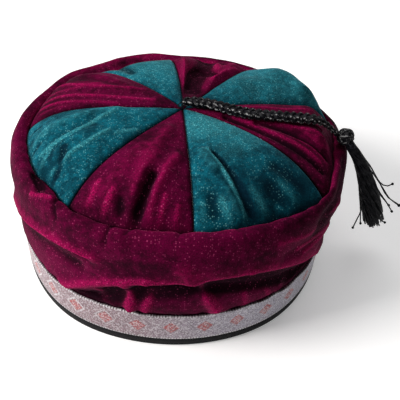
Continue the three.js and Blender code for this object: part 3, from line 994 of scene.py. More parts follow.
@dataclass(frozen=True)
class RibbonFinish:
    """Woven silver ribbon with a row of small salmon diamonds and stitched edges."""

    name: str
    silver: Colour
    # the silver painted as in cool light, towards the cap's right
    silver_in_cool_light: Colour
    shadow: Colour
    salmon: Colour
    white: Colour
    repeats: int
    first_angle: float
    diamond_width: float
    diamond_height: float

    def material(self, shared: SharedEffects, length: float, width: float) -> bpy.types.Material:
        """Build the material.

        Args:
            shared: The shared node groups.
            length: How long the ribbon is, in millimetres.
            width: How wide it is, in millimetres.

        Returns:
            The material.
        """
        material, wiring, shader = start_material(self.name)
        uv = wiring.add("ShaderNodeUVMap", uv_map="UVMap").outputs[0]
        flat = wiring.scaled(uv, (length, width, 1))
        parts = wiring.add("ShaderNodeSeparateXYZ")
        wiring.feed(parts.inputs[0], flat)
        along, across = parts.outputs["X"], parts.outputs["Y"]
        step = length / self.repeats
        shift = -self.first_angle / 360 * length
        spot = wiring.math("WRAP", wiring.math("ADD", along, shift), step / 2, -step / 2)
        stepped = wiring.math("SNAP", wiring.math("ABSOLUTE", spot), 0.4)
        off = wiring.math("ABSOLUTE", wiring.math("SUBTRACT", across, width * 0.52))
        lifted = wiring.math("SNAP", off, 0.45)
        reach = wiring.math(
            "ADD",
            wiring.math("DIVIDE", stepped, self.diamond_width / 2),
            wiring.math("DIVIDE", lifted, self.diamond_height / 2),
        )
        weave = place_group(wiring, shared.weave, flat, Warp_Size=0.62, Weft_Size=0.5)
        fine = wiring.cloud(flat, 1.7, 3.0, 0.7)
        chance = wiring.cells(flat, 1.7)[1]
        broken = wiring.ease(fine, 0.38, 0.55)
        # painted light: from the front towards the cap's right the ribbon is painted paler and bluer, as in
        # cool light
        cool_light = wiring.ease(wiring.math("DIVIDE", along, length), 0.68, 0.84)
        inside = wiring.math("SUBTRACT", 1.0, wiring.ease(reach, 0.75, 1.05))
        ring = wiring.math("ABSOLUTE", wiring.math("SUBTRACT", reach, 0.42))
        hollow = wiring.math("MULTIPLY_ADD", wiring.ease(ring, 0.04, 0.2), 0.6, 0.4)
        red = wiring.math("MULTIPLY", inside, hollow)
        red = wiring.math("MULTIPLY", red, wiring.math("MULTIPLY_ADD", broken, 0.75, 0.25))
        edge = wiring.math("LESS_THAN", wiring.math("ABSOLUTE", wiring.math("SUBTRACT", reach, 1.24)), 0.14)
        faded = wiring.ease(wiring.math("DIVIDE", along, length), 0.66, 0.73)
        edge = wiring.math("MULTIPLY", edge, wiring.math("MULTIPLY_ADD", faded, -0.85, 1.0))
        silver = wiring.mix(cool_light, self.silver, self.silver_in_cool_light)
        colour = wiring.mix(wiring.ease(fine, 0.3, 0.7), self.shadow, silver)
        colour = wiring.mix(wiring.math("MULTIPLY", edge, broken), colour, self.white)
        colour = wiring.mix(wiring.math("MULTIPLY", red, 1.25, clamp=True), colour, self.salmon)
        off_edge = wiring.math("ABSOLUTE", wiring.math("SUBTRACT", across, width / 2))
        selvedge = wiring.math("GREATER_THAN", off_edge, width / 2 - 0.8)
        stitch_wave = wiring.math("SINE", wiring.math("MULTIPLY", along, 2 * math.pi / 1.5))
        stitch = wiring.math("GREATER_THAN", stitch_wave, -0.1)
        colour = wiring.mix(wiring.math("MULTIPLY", selvedge, stitch), colour, self.white)
        dark_gap = wiring.math("MULTIPLY", selvedge, wiring.math("SUBTRACT", 1.0, stitch))
        colour = wiring.mix(wiring.math("MULTIPLY", dark_gap, 0.5), colour, self.shadow)
        sparkle = wiring.math("GREATER_THAN", chance, 0.68)
        colour = wiring.mix(wiring.math("MULTIPLY", sparkle, 0.6), colour, self.white)
        dull = wiring.math("LESS_THAN", chance, 0.24)
        colour = wiring.mix(wiring.math("MULTIPLY", dull, 0.5), colour, self.shadow)
        colour = wiring.shaded(colour, wiring.math("MULTIPLY_ADD", weave.outputs["Over"], 0.55, 0.55))
        wiring.feed(shader.inputs["Base Color"], colour)
        wiring.feed(shader.inputs["Metallic"], wiring.math("MULTIPLY", sparkle, 0.6))
        wiring.feed(shader.inputs["Roughness"], wiring.math("MULTIPLY_ADD", chance, 0.3, 0.28))
        height = wiring.math("MULTIPLY_ADD", chance, 0.6, weave.outputs["Height"])
        height = wiring.math("MULTIPLY_ADD", wiring.math("MULTIPLY", selvedge, stitch), 1.4, height)
        height = wiring.math("MULTIPLY_ADD", red, 0.8, height)
        wiring.feed(shader.inputs["Normal"], wiring.bump(height, 0.7, 0.00022))
        return material


@dataclass(frozen=True)
class BindingFinish:
    """Black ribbed tape folded round the edge."""

    name: str
    body: Colour
    lighter_patch: Colour

    def material(self, shared: SharedEffects, length: float, width: float) -> bpy.types.Material:
        """Build the material.

        Args:
            shared: The shared node groups.
            length: How long the tape is, in millimetres.
            width: How wide it is, in millimetres.

        Returns:
            The material.
        """
        material, wiring, shader = start_material(self.name)
        uv = wiring.add("ShaderNodeUVMap", uv_map="UVMap").outputs[0]
        flat = wiring.scaled(uv, (length, width, 1))
        weave = place_group(wiring, shared.weave, flat, Warp_Size=1.1, Weft_Size=0.35)
        fine = wiring.cloud(flat, 1.3, 4.0, 0.65)
        colour = wiring.mix(wiring.ease(fine, 0.42, 0.72), self.body, self.lighter_patch)
        wiring.feed(shader.inputs["Base Color"], colour)
        wiring.feed(shader.inputs["Roughness"], wiring.math("MULTIPLY_ADD", fine, 0.35, 0.5))
        shader.inputs["Specular IOR Level"].default_value = 0.12
        wiring.feed(shader.inputs["Normal"], wiring.bump(weave.outputs["Height"], 0.6, 0.00025))
        return material


@dataclass(frozen=True)
class ThreadFinish:
    """Glossy black thread, twisted round its strand, with painted highlight specks."""

    name: str
    body: Colour
    lit: Colour
    twist: float
    strands: float
    dark_share: float

    def material(self) -> bpy.types.Material:
        """Build the material.

        Returns:
            The material.
        """
        material, wiring, shader = start_material(self.name)
        uv = wiring.add("ShaderNodeUVMap", uv_map="UVMap").outputs[0]
        parts = wiring.add("ShaderNodeSeparateXYZ")
        wiring.feed(parts.inputs[0], uv)
        around = wiring.math("MULTIPLY", parts.outputs["X"], self.strands)
        turn = wiring.math("MULTIPLY_ADD", parts.outputs["Y"], self.twist, around)
        wave = wiring.math("SINE", wiring.math("MULTIPLY", turn, 2 * math.pi))
        place = wiring.add("ShaderNodeTexCoord").outputs["Object"]
        fine = wiring.cloud(place, 1400.0, 3.0, 0.7)
        chance = wiring.cells(place, 1500.0)[1]
        bright = wiring.math("GREATER_THAN", chance, self.dark_share)
        edge = wiring.add("ShaderNodeAttribute", attribute_name="edge").outputs["Fac"]
        # painted highlights: the lit colour is painted in specks on the tops of the twist where the edge
        # share is high
        top = wiring.math("MULTIPLY", wiring.ease(wave, 0.0, 0.8), wiring.ease(edge, 0.55, 0.95))
        colour = wiring.mix(wiring.math("MULTIPLY", top, bright), self.body, self.lit)
        wiring.feed(shader.inputs["Base Color"], colour)
        wiring.feed(shader.inputs["Roughness"], wiring.math("MULTIPLY_ADD", fine, 0.3, 0.4))
        shader.inputs["Specular IOR Level"].default_value = 0.16
        height = wiring.math("MULTIPLY_ADD", fine, 0.4, wave)
        wiring.feed(shader.inputs["Normal"], wiring.bump(height, 0.8, 0.00018))
        return material


@dataclass
class Crown:
    """The eight velvet wedges of the crown."""

    form: CapForm
    finishes: dict
    columns: int = 120
    rows: int = 96
    seam_round: float = 2.6
    seam_depth: float = 1.5
    band_round: float = 3.6
    band_depth: float = 2.0
    seam_gap: float = 0.06
    column_bunching: float = 0.11
    row_bunching: float = 1.25
    ripple: float = 0.28
    ripple_size: float = 13.0
    pucker_depth: float = 0.34
    pucker_reach: float = 7.0
    puckers: int = 53

    def seam_angle(self, gore: Gore, turn: float, out: np.ndarray) -> np.ndarray:
        """Angle of a seam at a share of the way out."""
        inner, outer = gore.inner + turn, gore.outer + turn
        return np.radians(inner + (outer - inner) * np.sqrt(out))

    def gore_place(self, gore: Gore, after: Gore, last: bool, grid: np.ndarray) -> np.ndarray:
        """Carry one wedge's grid to its place.

        Args:
            gore: The wedge.
            after: The next wedge, whose first seam ends this one.
            last: Whether the next wedge is a turn further on.
            grid: Rows of across, inwards and layer, which is 0 outside and -1 inside.

        Returns:
            Rows of x, y and z in millimetres.
        """
        form = self.form
        across = grid[:, 0] - self.column_bunching * np.sin(2 * np.pi * grid[:, 0])
        inwards = grid[:, 1] ** self.row_bunching
        rim = form.crown_radius - self.seam_gap
        round_ = rim + (form.tip_radius - rim) * inwards
        out = round_ / rim
        gap = self.seam_gap / 2 / round_
        first = self.seam_angle(gore, 0, out) + gap
        second = self.seam_angle(after, 360 if last else 0, out) - gap
        angle = first + (second - first) * across
        radius = round_ + out**4 * form.crown_swell(angle)
        drop = form.crown_top - form.seam_height
        slope = drop * form.dome_power * out ** (form.dome_power - 1) / form.crown_radius
        level = np.hypot(1, slope)
        edge = np.minimum(1, 8 * across * (1 - across)) * smoothstep(1 - out, 0, form.crown_fade)
        x, y = radius * np.cos(angle), radius * np.sin(angle)
        big = form.lift(form.crown_lines(CROWN_FOLDS), x, y)
        small = form.lift(form.crown_lines(CROWN_WRINKLES), x, y)
        middle = (4 * across * (1 - across)) ** form.puff_round
        puff = form.puff * middle * out**form.puff_growth * (1 - out**form.puff_edge)
        to_seam = np.minimum(across, 1 - across) * (second - first) * round_
        to_band = rim - round_
        groove = self.groove(to_seam, self.seam_round, self.seam_depth)
        groove += self.groove(to_band, self.band_round, self.band_depth)
        spots = np.column_stack((x, y, np.zeros_like(x)))
        ripple = soft_noise(spots, self.ripple_size, 3.0) + 0.45 * soft_noise(spots, 5.0, 9.0)
        gather = self.gather(angle, to_band)
        lift = gore.puff * puff + edge * (big + small) + self.ripple * middle * ripple + gather
        lift = lift - groove * np.minimum(1, to_seam + to_band + 0.4)
        down = np.where(grid[:, 2] < -0.5, form.cloth, 0.0)
        lift = np.where(grid[:, 2] < -0.5, gore.puff * puff + edge * big, lift)
        reach = radius - down * slope / level
        slump = out**form.slump_edge * form.crown_slump(angle)
        height = form.seam_height + drop * (1 - out**form.dome_power) - slump + lift - down / level
        # painted pools of light: above 0 they add painted highlight and stronger glints, below 0 painted
        # shade
        painted_light = self.painted_light(x, y)
        # the relief also carries painted shade: it sinks in the seam grooves and in the painted pools of
        # shade
        self.relief = 0.5 + edge * (big * 0.24 + small * 0.7) + gather * 0.6 - groove * 0.4
        self.relief += np.minimum(painted_light, 0)
        # painted highlight share: wrinkle tops and puckers near the seams, and the painted pools of light
        self.crest = np.maximum(edge * np.clip(small * 2.2 + gather, 0, 1), painted_light)
        return np.column_stack((reach * np.cos(angle), reach * np.sin(angle), height))

    def painted_light(self, x: np.ndarray, y: np.ndarray) -> np.ndarray:
        """How strongly light is painted on each spot, or shade where the sum is below 0.

        Args:
            x: Where each spot lies to the side.
            y: Where it lies to the back.

        Returns:
            A share for each spot.
        """
        total = np.zeros_like(x)
        for patch in PAINTED_LIGHT_PATCHES:
            turn = math.radians(patch.angle)
            reach = patch.out * self.form.crown_radius
            away = np.hypot(x - reach * math.cos(turn), y - reach * math.sin(turn))
            total += patch.strength * np.exp(-((away / (patch.size * self.form.crown_radius)) ** 2))
        return total

    def groove(self, off: np.ndarray, reach: float, depth: float) -> np.ndarray:
        """How deep the cloth dips towards a seam.

        Args:
            off: How far away the seam is.
            reach: How far from the seam the dip begins.
            depth: How deep it is at the seam.

        Returns:
            The depth at each spot.
        """
        share = np.clip(1 - off / reach, 0, 1)
        return depth * (1 - np.sqrt(np.clip(1 - share * share, 0, 1)))

    def gather(self, angle: np.ndarray, to_band: np.ndarray) -> np.ndarray:
        """Small puckers where the wedges are gathered into the crown seam.

        Args:
            angle: Angles in radians.
            to_band: How far away the crown seam is.

        Returns:
            How far they lift each spot.
        """
        wave = uneven_wave(angle, self.puckers, 2, 5) * (0.5 + 0.5 * np.sin(11 * angle + 1))
        near = np.exp(-((to_band / self.pucker_reach) ** 2))
        return self.pucker_depth * wave * near * smoothstep(to_band, 0.2, 2.5)

    def build(self) -> list[bpy.types.Object]:
        """Build the wedges.

        Returns:
            The pieces.
        """
        pieces = []
        for i, gore in enumerate(GORES):
            after = GORES[(i + 1) % len(GORES)]
            sheet = new_sheet(self.columns, self.rows)
            thicken(sheet)
            turned = after.inner < gore.inner
            carry(sheet, lambda grid: self.gore_place(gore, after, turned, grid))
            store_shares(sheet, fold=self.relief, crest=self.crest)
            name = f"gore_{i + 1}_{gore.cloth.name.lower()}"
            piece = finish_piece(sheet, f"velvet_{name}", self.finishes[gore.cloth])
            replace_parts(piece, f"crown_{name}")
            pieces.append(piece)
        return pieces


def store_shares(sheet: bmesh.types.BMesh, **shares: np.ndarray) -> None:
    """Keep shares from 0 to 1 on the vertices for the finishes to read.

    Args:
        sheet: The mesh.
        **shares: One value for each vertex, by the attribute's name.
    """
    for name, values in shares.items():
        layer = sheet.verts.layers.float.new(name)
        for vert, value in zip(sheet.verts, np.clip(values, 0, 1)):
            vert[layer] = float(value)


@dataclass
class SideBand:
    """The velvet wall from the rim over the puffed shoulder to the crown seam."""

    form: CapForm
    finish: bpy.types.Material
    columns: int = 560
    side_rows: int = 64
    arc_rows: int = 18
    roll_rows: int = 12
    ripple: float = 0.3
    ripple_size: float = 14.0
    pucker_depth: float = 0.3
    pucker_reach: float = 6.0
    puckers: int = 47
    pleat_depth: float = 0.45
    pleat_reach: float = 5.0
    pleats: int = 61

    def __post_init__(self) -> None:
        """Work out the rows of the band's outer face and its closed section."""
        self.rows = self.outer_rows()
        last = len(self.rows) - 1
        self.section = [(0.0, i) for i in range(last + 1)]
        self.section += [(-self.form.cloth, i) for i in range(last, -1, -3)]

    def outer_rows(self) -> np.ndarray:
        """Rows from the rim to the crown seam.

        Returns:
            Columns of height, rim share, swell share, radius, slump share, bulge share, normal
            out, normal up and climb.
        """
        form = self.form
        low = form.ribbon_top + form.clearance
        rows = [(form.rim_cover, 1, 0, 0, 0, 0), (low - 3, 1, 0, 0, 0, 0)]
        ups = np.linspace(0, 1, 400)
        table = np.array(form.side_profile)
        outs = np.interp(ups, table[:, 0], table[:, 1])
        kernel = np.exp(-(np.linspace(-2, 2, 41) ** 2))
        padded = np.concatenate((np.full(20, outs[0]), outs, np.full(20, outs[-1])))
        outs = np.convolve(padded, kernel / kernel.sum(), mode="valid")
        outs = outs * smoothstep(ups, -0.02, 0.05)
        for up in np.linspace(0, 1, self.side_rows) ** 1.1:
            out = float(np.interp(up, ups, outs))
            rows.append((low + (form.bulge_height - low) * up, 1 - out, 0, form.bulge_radius, 0, out))
        for turn in np.linspace(0, math.pi / 2, self.arc_rows)[1:]:
            rise = math.sin(turn)
            rows.append(
                (
                    form.bulge_height + (form.shoulder_height - form.bulge_height) * rise,
                    0,
                    form.shoulder_follow * rise,
                    form.shoulder_radius + (form.bulge_radius - form.shoulder_radius) * math.cos(turn),
                    rise,
                    math.cos(turn),
                )
            )
        for turn in np.linspace(0, math.pi / 2, self.roll_rows)[1:]:
            rows.append(
                (
                    form.seam_height + (form.shoulder_height - form.seam_height) * math.cos(turn),
                    0,
                    form.shoulder_follow + (1 - form.shoulder_follow) * math.sin(turn),
                    form.shoulder_radius + (form.crown_radius - form.shoulder_radius) * math.sin(turn),
                    1,
                    0,
                )
            )
        rows.append((form.seam_height - form.cloth, 0, 1, form.crown_radius, 1, 0))
        table = np.array(rows, dtype=float)
        face = np.column_stack((self.row_radius(table, np.zeros(len(table))), table[:, 0]))
        run = np.vstack((face[1:2] - face[0:1], face[2:] - face[:-2], face[-1:] - face[-2:-1]))
        run /= np.linalg.norm(run, axis=1)[:, None]
        climb = face[0, 1] + np.concatenate(([0], np.cumsum(np.linalg.norm(np.diff(face, axis=0), axis=1))))
        return np.column_stack((table, run[:, 1], -run[:, 0], climb))

    def row_radius(self, row: np.ndarray, angle: np.ndarray) -> np.ndarray:
        """Radius of rows at angles, without folds.

        Args:
            row: One of the outer face's rows for each spot.
            angle: Angles in radians.

        Returns:
            The radius of each spot.
        """
        rim, swell, radius = row[:, 1], row[:, 2], row[:, 3]
        form = self.form
        pushed = row[:, 5] * form.bulge_swell * form.corner_share(form.bulge_corners, angle)
        pushed += swell * form.crown_swell(angle)
        return rim * form.rim_radius(angle) + (1 - rim) * radius + pushed

    def place(self, flat: np.ndarray) -> np.ndarray:
        """Carry the spun section to its place.

        Args:
            flat: Rows of x, y and z, where z counts the rows.

        Returns:
            Rows of x, y and z in millimetres.
        """
        form = self.form
        angle = flat[:, 0] * 2 * np.pi
        section = pick_rows(self.section, flat[:, 1])
        outward = section[:, 0]
        row = self.rows[section[:, 1].astype(int)]
        climb = row[:, 8]
        end = self.rows[-1, 8]
        low = smoothstep(climb, form.ribbon_top, form.ribbon_top + form.fold_width)
        high = 1 - smoothstep(climb, end - form.band_fade_from, end - form.band_fade_to)
        near_seam = 1 - smoothstep(climb, end - 3.4, end - 1.2)
        unrolled = (angle % (2 * np.pi)) * form.bulge_radius
        big = form.lift(form.band_lines(BAND_FOLDS), unrolled, climb)
        small = form.lift(form.band_lines(BAND_WRINKLES), unrolled, climb)
        spots = np.column_stack((np.cos(angle) * NOISE_RADIUS, np.sin(angle) * NOISE_RADIUS, climb))
        ripple = soft_noise(spots, self.ripple_size, 5.0) + 0.4 * soft_noise(spots, 5.5, 11.0)
        gather = self.gather(angle, climb, end)
        hem = self.hem(angle, climb)
        outer = outward > -0.5
        fine = low * near_seam * (small + self.ripple * ripple)
        lift = low * high * big + np.where(outer, fine + gather + hem, 0) + outward
        lip = np.exp(-(((climb - end + 3.2) / 1.3) ** 2))
        self.relief = 0.5 + low * high * big * 0.26 + fine * 0.4 + gather * 0.5 + hem * 0.3
        # painted shade: darker at the crown seam and low on the band, under the ribbon and just above its top
        self.relief -= 0.5 * smoothstep(climb, end - 1.6, end - 0.6) + 0.35 * (1 - low)
        # painted highlight share: wrinkle tops, puckers at the crown seam and the lip just above it
        self.crest = np.clip(low * near_seam * small * 1.6 + gather + 0.8 * lip, 0, 1)
        radius = self.row_radius(row, angle) + lift * row[:, 6]
        height = row[:, 0] - row[:, 4] * form.crown_slump(angle)
        return form.leaning(angle, radius, height + lift * row[:, 7])

    def gather(self, angle: np.ndarray, climb: np.ndarray, end: float) -> np.ndarray:
        """Small puckers where the band is gathered into the crown seam.

        Args:
            angle: Angles in radians.
            climb: How far up the cloth each spot lies.
            end: How far up the cloth ends.

        Returns:
            How far they lift each spot.
        """
        wave = uneven_wave(angle, self.puckers, 2, 7) * (0.5 + 0.5 * np.sin(9 * angle + 2))
        off = end - self.form.cloth - climb
        near = np.exp(-((off / self.pucker_reach) ** 2))
        return self.pucker_depth * wave * near * smoothstep(-np.abs(off), -7, -1)

    def hem(self, angle: np.ndarray, climb: np.ndarray) -> np.ndarray:
        """Small pleats where the band is gathered behind the ribbon.

        Args:
            angle: Angles in radians.
            climb: How far up the cloth each spot lies.

        Returns:
            How far they lift each spot.
        """
        off = climb - self.form.ribbon_top
        wave = uneven_wave(angle, self.pleats, 3, 4) * (0.55 + 0.45 * np.sin(13 * angle))
        near = np.exp(-(((off - 3) / self.pleat_reach) ** 2))
        return self.pleat_depth * wave * near * smoothstep(off, 0, 2)

    def build(self) -> bpy.types.Object:
        """Build the band.

        Returns:
            The piece.
        """
        ring = new_sheet(self.columns, len(self.section))
        carry(ring, self.place)
        store_shares(ring, fold=self.relief, crest=self.crest)
        close_ring(ring)
        piece = finish_piece(ring, "velvet_band", self.finish)
        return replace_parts(piece, "side_band")


@dataclass
class RibbonTrim:
    """The woven ribbon round the lower wall."""

    form: CapForm
    finish: RibbonFinish
    columns: int = 720
    rows: int = 16
    frill_depth: float = 0.1
    frills: int = 67
    scallop_count: int = 29
    scallop_depths: tuple = (
        (0, 0.05), (200, 0.05), (222, 0.22), (232, 0.3), (246, 0.1), (284, 0.12), (300, 0.5),
        (322, 0.55), (340, 0.1),
    )
    buckle: float = 0.16
    edge_swell: float = 0.12

    def place(self, flat: np.ndarray) -> np.ndarray:
        """Carry the spun section to its place.

        Args:
            flat: Rows of x, y and z, where z is the share of the width.

        Returns:
            Rows of x, y and z in millimetres.
        """
        form = self.form
        angle = flat[:, 0] * 2 * np.pi
        section = pick_rows(self.section, flat[:, 1])
        outward, up = section[:, 0], section[:, 1]
        wave = np.sin(form.ribbon_waves * angle) * np.cos(2 * angle)
        size = eased_table(np.degrees(angle), self.scallop_depths)
        frill = self.frill_depth * uneven_wave(angle, self.frills, 2, 9)
        frill += size * uneven_wave(angle, self.scallop_count, 1.5, 6)
        dip = form.ribbon_wave * (0.5 - 0.5 * wave) + frill
        height = form.ribbon_bottom + (form.ribbon_width - dip) * up
        spots = np.column_stack((np.cos(angle) * NOISE_RADIUS, np.sin(angle) * NOISE_RADIUS, height))
        buckle = self.buckle * soft_noise(spots, 9.0, 21.0) * up
        edge = self.edge_swell * np.exp(-(((np.abs(up - 0.5) - 0.47) / 0.03) ** 2))
        outside = outward > form.clearance + 0.5 * form.ribbon_wall
        radius = form.rim_radius(angle) + outward + np.where(outside, buckle + edge, 0)
        return form.leaning(angle, radius, height)

    def build(self, shared: SharedEffects) -> bpy.types.Object:
        """Build the ribbon.

        Args:
            shared: The shared node groups.

        Returns:
            The piece.
        """
        form = self.form
        outside = form.clearance + form.ribbon_wall
        self.section = [(outside, up) for up in np.linspace(0, 1, self.rows)]
        self.section += [(form.clearance, 1.0), (form.clearance, 0.0)]
        ring = new_sheet(self.columns, len(self.section))
        uv = ring.loops.layers.uv["UVMap"]
        for face in ring.faces:
            for loop in face.loops:
                loop[uv].uv.y = min(1.0, loop[uv].uv.y * len(self.section) / (self.rows - 1))
        carry(ring, self.place)
        close_ring(ring)
        length = math.pi * (form.rim_radius_x + form.rim_radius_y)
        material = self.finish.material(shared, length, form.ribbon_width)
        piece = finish_piece(ring, "woven_ribbon", material)
        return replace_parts(piece, "ribbon_trim")


@dataclass
class RimBinding:
    """The black tape folded round the lower edge."""

    form: CapForm
    finish: BindingFinish
    columns: int = 480
    corner: float = 0.8
    tape_width: float = 24.0
    wander: float = 0.14

    def section(self) -> list[tuple[float, float]]:
        """Outline of the folded tape.

        Returns:
            Points of outward and up.
        """
        form = self.form
        outside = form.clearance + form.binding_wall
        inside = -(form.cloth + form.clearance)
        back = inside - form.binding_wall
        points = []
        for turn in np.linspace(-90, 0, 6):
            arc = math.radians(turn)
            outward = outside - self.corner + self.corner * math.cos(arc)
            points.append((outward, self.corner + self.corner * math.sin(arc)))
        for height in np.linspace(1.6, form.binding_height - 0.3, 6):
            points.append((outside + 0.12 * math.sin(math.pi * (height - 1.6) / 3.6), height))
        points += [(outside - 0.3, form.binding_height), (form.clearance, form.binding_height)]
        points += [(form.clearance, form.binding_wall), (inside, form.binding_wall)]
        points += [(inside, form.binding_height), (back + 0.3, form.binding_height)]
        points += [(back, form.binding_height - 0.3), (back, 3.0), (back, 0.6), (back + 0.6, 0.0)]
        points += [((back + outside) / 2, 0.0)]
        return points

    def place(self, flat: np.ndarray) -> np.ndarray:
        """Carry the spun section to its place.

        Args:
            flat: Rows of x, y and z.

        Returns:
            Rows of x, y and z in millimetres.
        """
        angle = flat[:, 0] * 2 * np.pi
        outline = pick_rows(self.outline, flat[:, 1])
        outward, up = outline[:, 0], outline[:, 1]
        upper = smoothstep(up, 1.0, self.form.binding_height)
        wander = self.wander * uneven_wave(angle, 19, 3, 3) * upper
        return self.form.leaning(angle, self.form.rim_radius(angle) + outward, up + wander)

    def build(self, shared: SharedEffects) -> bpy.types.Object:
        """Build the binding.

        Args:
            shared: The shared node groups.

        Returns:
            The piece.
        """
        self.outline = self.section()
        ring = new_sheet(self.columns, len(self.outline))
        carry(ring, self.place)
        close_ring(ring)
        length = math.pi * (self.form.rim_radius_x + self.form.rim_radius_y)
        material = self.finish.material(shared, length, self.tape_width)
        piece = finish_piece(ring, "bound_edge", material)
        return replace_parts(piece, "rim_binding")


def smooth_line(points: Sequence[tuple[float, float, float]], steps: int) -> np.ndarray:
    """Lay evenly spaced points on a smooth line through the given ones.

    Args:
        points: The points that the line passes.
        steps: How many points come back.

    Returns:
        Rows of x, y and z.
    """
    given = np.array(points)
    ends = np.vstack((2 * given[0] - given[1], given, 2 * given[-1] - given[-2]))
    dense = []
    for i in range(1, len(ends) - 2):
        a, b, c, d = ends[i - 1 : i + 3]
        for t in np.linspace(0, 1, 24, endpoint=False):
            square = (2 * a - 5 * b + 4 * c - d) * t**2
            cube = (3 * b - a - 3 * c + d) * t**3
            dense.append(0.5 * (2 * b + (c - a) * t + square + cube))
    dense = np.array(dense + [given[-1]])
    way = np.concatenate(([0], np.cumsum(np.linalg.norm(np.diff(dense, axis=0), axis=1))))
    even = np.linspace(0, way[-1], steps)
    return np.column_stack([np.interp(even, way, dense[:, k]) for k in range(3)])


def line_length(line: np.ndarray) -> float:
    """Length of a line of points."""
    return float(np.linalg.norm(np.diff(line, axis=0), axis=1).sum())


def line_frames(line: np.ndarray, upward: tuple) -> tuple[np.ndarray, np.ndarray, np.ndarray]:
    """Directions along a line.

    Args:
        line: Rows of x, y and z.
        upward: What counts as up.

    Returns:
        Forward, sideways and up at each point.
    """
    ahead = np.gradient(line, axis=0)
    ahead /= np.linalg.norm(ahead, axis=1)[:, None]
    side = np.cross(np.array(upward), ahead)
    side /= np.linalg.norm(side, axis=1)[:, None]
    return ahead, side, np.cross(ahead, side)


@dataclass
class TubeMaker:
    """Adds closed round tubes to one mesh, each from the same few faces."""

    sides: int
    steps: int

    def __post_init__(self) -> None:
        """Make the upright tube that each one is carried from."""
        tube = bmesh.new()
        uv = tube.loops.layers.uv.new("UVMap")
        bmesh.ops.create_cone(
            tube, cap_ends=True, cap_tris=False, segments=self.sides, radius1=1, radius2=1, depth=1
        )
        upright = [edge for edge in tube.edges if abs(edge.verts[0].co.z - edge.verts[1].co.z) > 0.5]
        bmesh.ops.subdivide_edges(tube, edges=upright, cuts=self.steps - 1, use_grid_fill=True)
        for face in tube.faces:
            places = [loop.vert.co for loop in face.loops]
            turns = [math.atan2(place.y, place.x) / (2 * math.pi) % 1 for place in places]
            far = max(turns) - min(turns) > 0.5
            for loop, turn in zip(face.loops, turns):
                loop[uv].uv = (turn + (1 if far and turn < 0.5 else 0), loop.vert.co.z + 0.5)
        self.mesh = bpy.data.meshes.new("upright_tube")
        tube.to_mesh(self.mesh)
        self.spots = np.array([vert.co[:] for vert in tube.verts])
        tube.free()

    def add(
        self, sheet: bmesh.types.BMesh, line: np.ndarray, radius: np.ndarray, upward: tuple
    ) -> np.ndarray:
        """Add a tube along a line.

        Args:
            sheet: Where it is added.
            line: Its middle, one point more than the tube's steps, in metres.
            radius: Its radius at each of them.
            upward: What counts as up along the line.

        Returns:
            Which point of the line each new vertex stands at.
        """
        _, side, up = line_frames(line, upward)
        start = len(sheet.verts)
        sheet.from_mesh(self.mesh)
        sheet.verts.ensure_lookup_table()
        k = np.rint((self.spots[:, 2] + 0.5) * self.steps).astype(int)
        around = self.spots[:, :1] * side[k] + self.spots[:, 1:2] * up[k]
        for vert, spot in zip(sheet.verts[start:], line[k] + radius[k][:, None] * around):
            vert.co = spot
        return k


@dataclass
class PlaitedCord:
    """The flat three-strand plait from the crown's centre to the knot."""

    finish: bpy.types.Material
    diameter: float = 6.2
    strand_radius: float = 1.42
    sway: float = 2.2
    rise: float = 0.95
    pitch: float = 11.2
    steps: int = 260
    sides: int = 10

    def build(self) -> bpy.types.Object:
        """Build the plait.

        Returns:
            The piece.
        """
        line = smooth_line(CORD_ROUTE, self.steps + 1)
        self.path = line
        self.length = line_length(line)
        way = np.linspace(0, self.length / MM, self.steps + 1)
        _, side, up = line_frames(line, (0, 0, 1))
        slim = 1 - 0.32 * smoothstep(way, way[-1] - 26, way[-1] - 4)
        slim *= 1 - 0.2 * (1 - smoothstep(way, 0, 7))
        maker = TubeMaker(self.sides, self.steps)
        sheet = bmesh.new()
        edges = []
        for k in range(3):
            phase = 2 * np.pi * (way / self.pitch + k / 3)
            sideways = self.sway * np.sin(phase) * slim
            upwards = self.rise * np.sin(2 * phase) * slim
            strand = line + MM * (sideways[:, None] * side + upwards[:, None] * up)
            spots = maker.add(sheet, strand, MM * self.strand_radius * slim, (0, 0, 1))
            # the edge share places painted highlights where each strand swings out to the plait's sides
            edges.append(np.abs(np.sin(phase))[spots])
        store_shares(sheet, edge=np.concatenate(edges))
        piece = finish_piece(sheet, "plaited_cord", self.finish)
        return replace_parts(piece, "tassel_cord")

    def centre_stitch(self) -> bpy.types.Object:
        """Sew the small loop of thread that holds the plait at the crown's centre.

        Returns:
            The piece.
        """
        maker = TubeMaker(6, 40)
        sheet = bmesh.new()
        start = np.array(CORD_ROUTE[0])
        turn = np.linspace(0, 2 * np.pi, 41)
        for reach, lift, drift in ((1.9, 0.9, -1.2), (1.4, 1.3, 0.2)):
            across = -0.9 + 1.2 * reach * np.sin(turn)
            loop = np.column_stack((drift + reach * np.cos(turn), across, lift * np.cos(turn) - 1.6))
            maker.add(sheet, start + MM * loop, np.full(41, 0.28 * MM), (0.1, 0.2, 0.97))
        store_shares(sheet, edge=np.zeros(len(sheet.verts)))
        return finish_piece(sheet, "centre_stitch", self.finish)


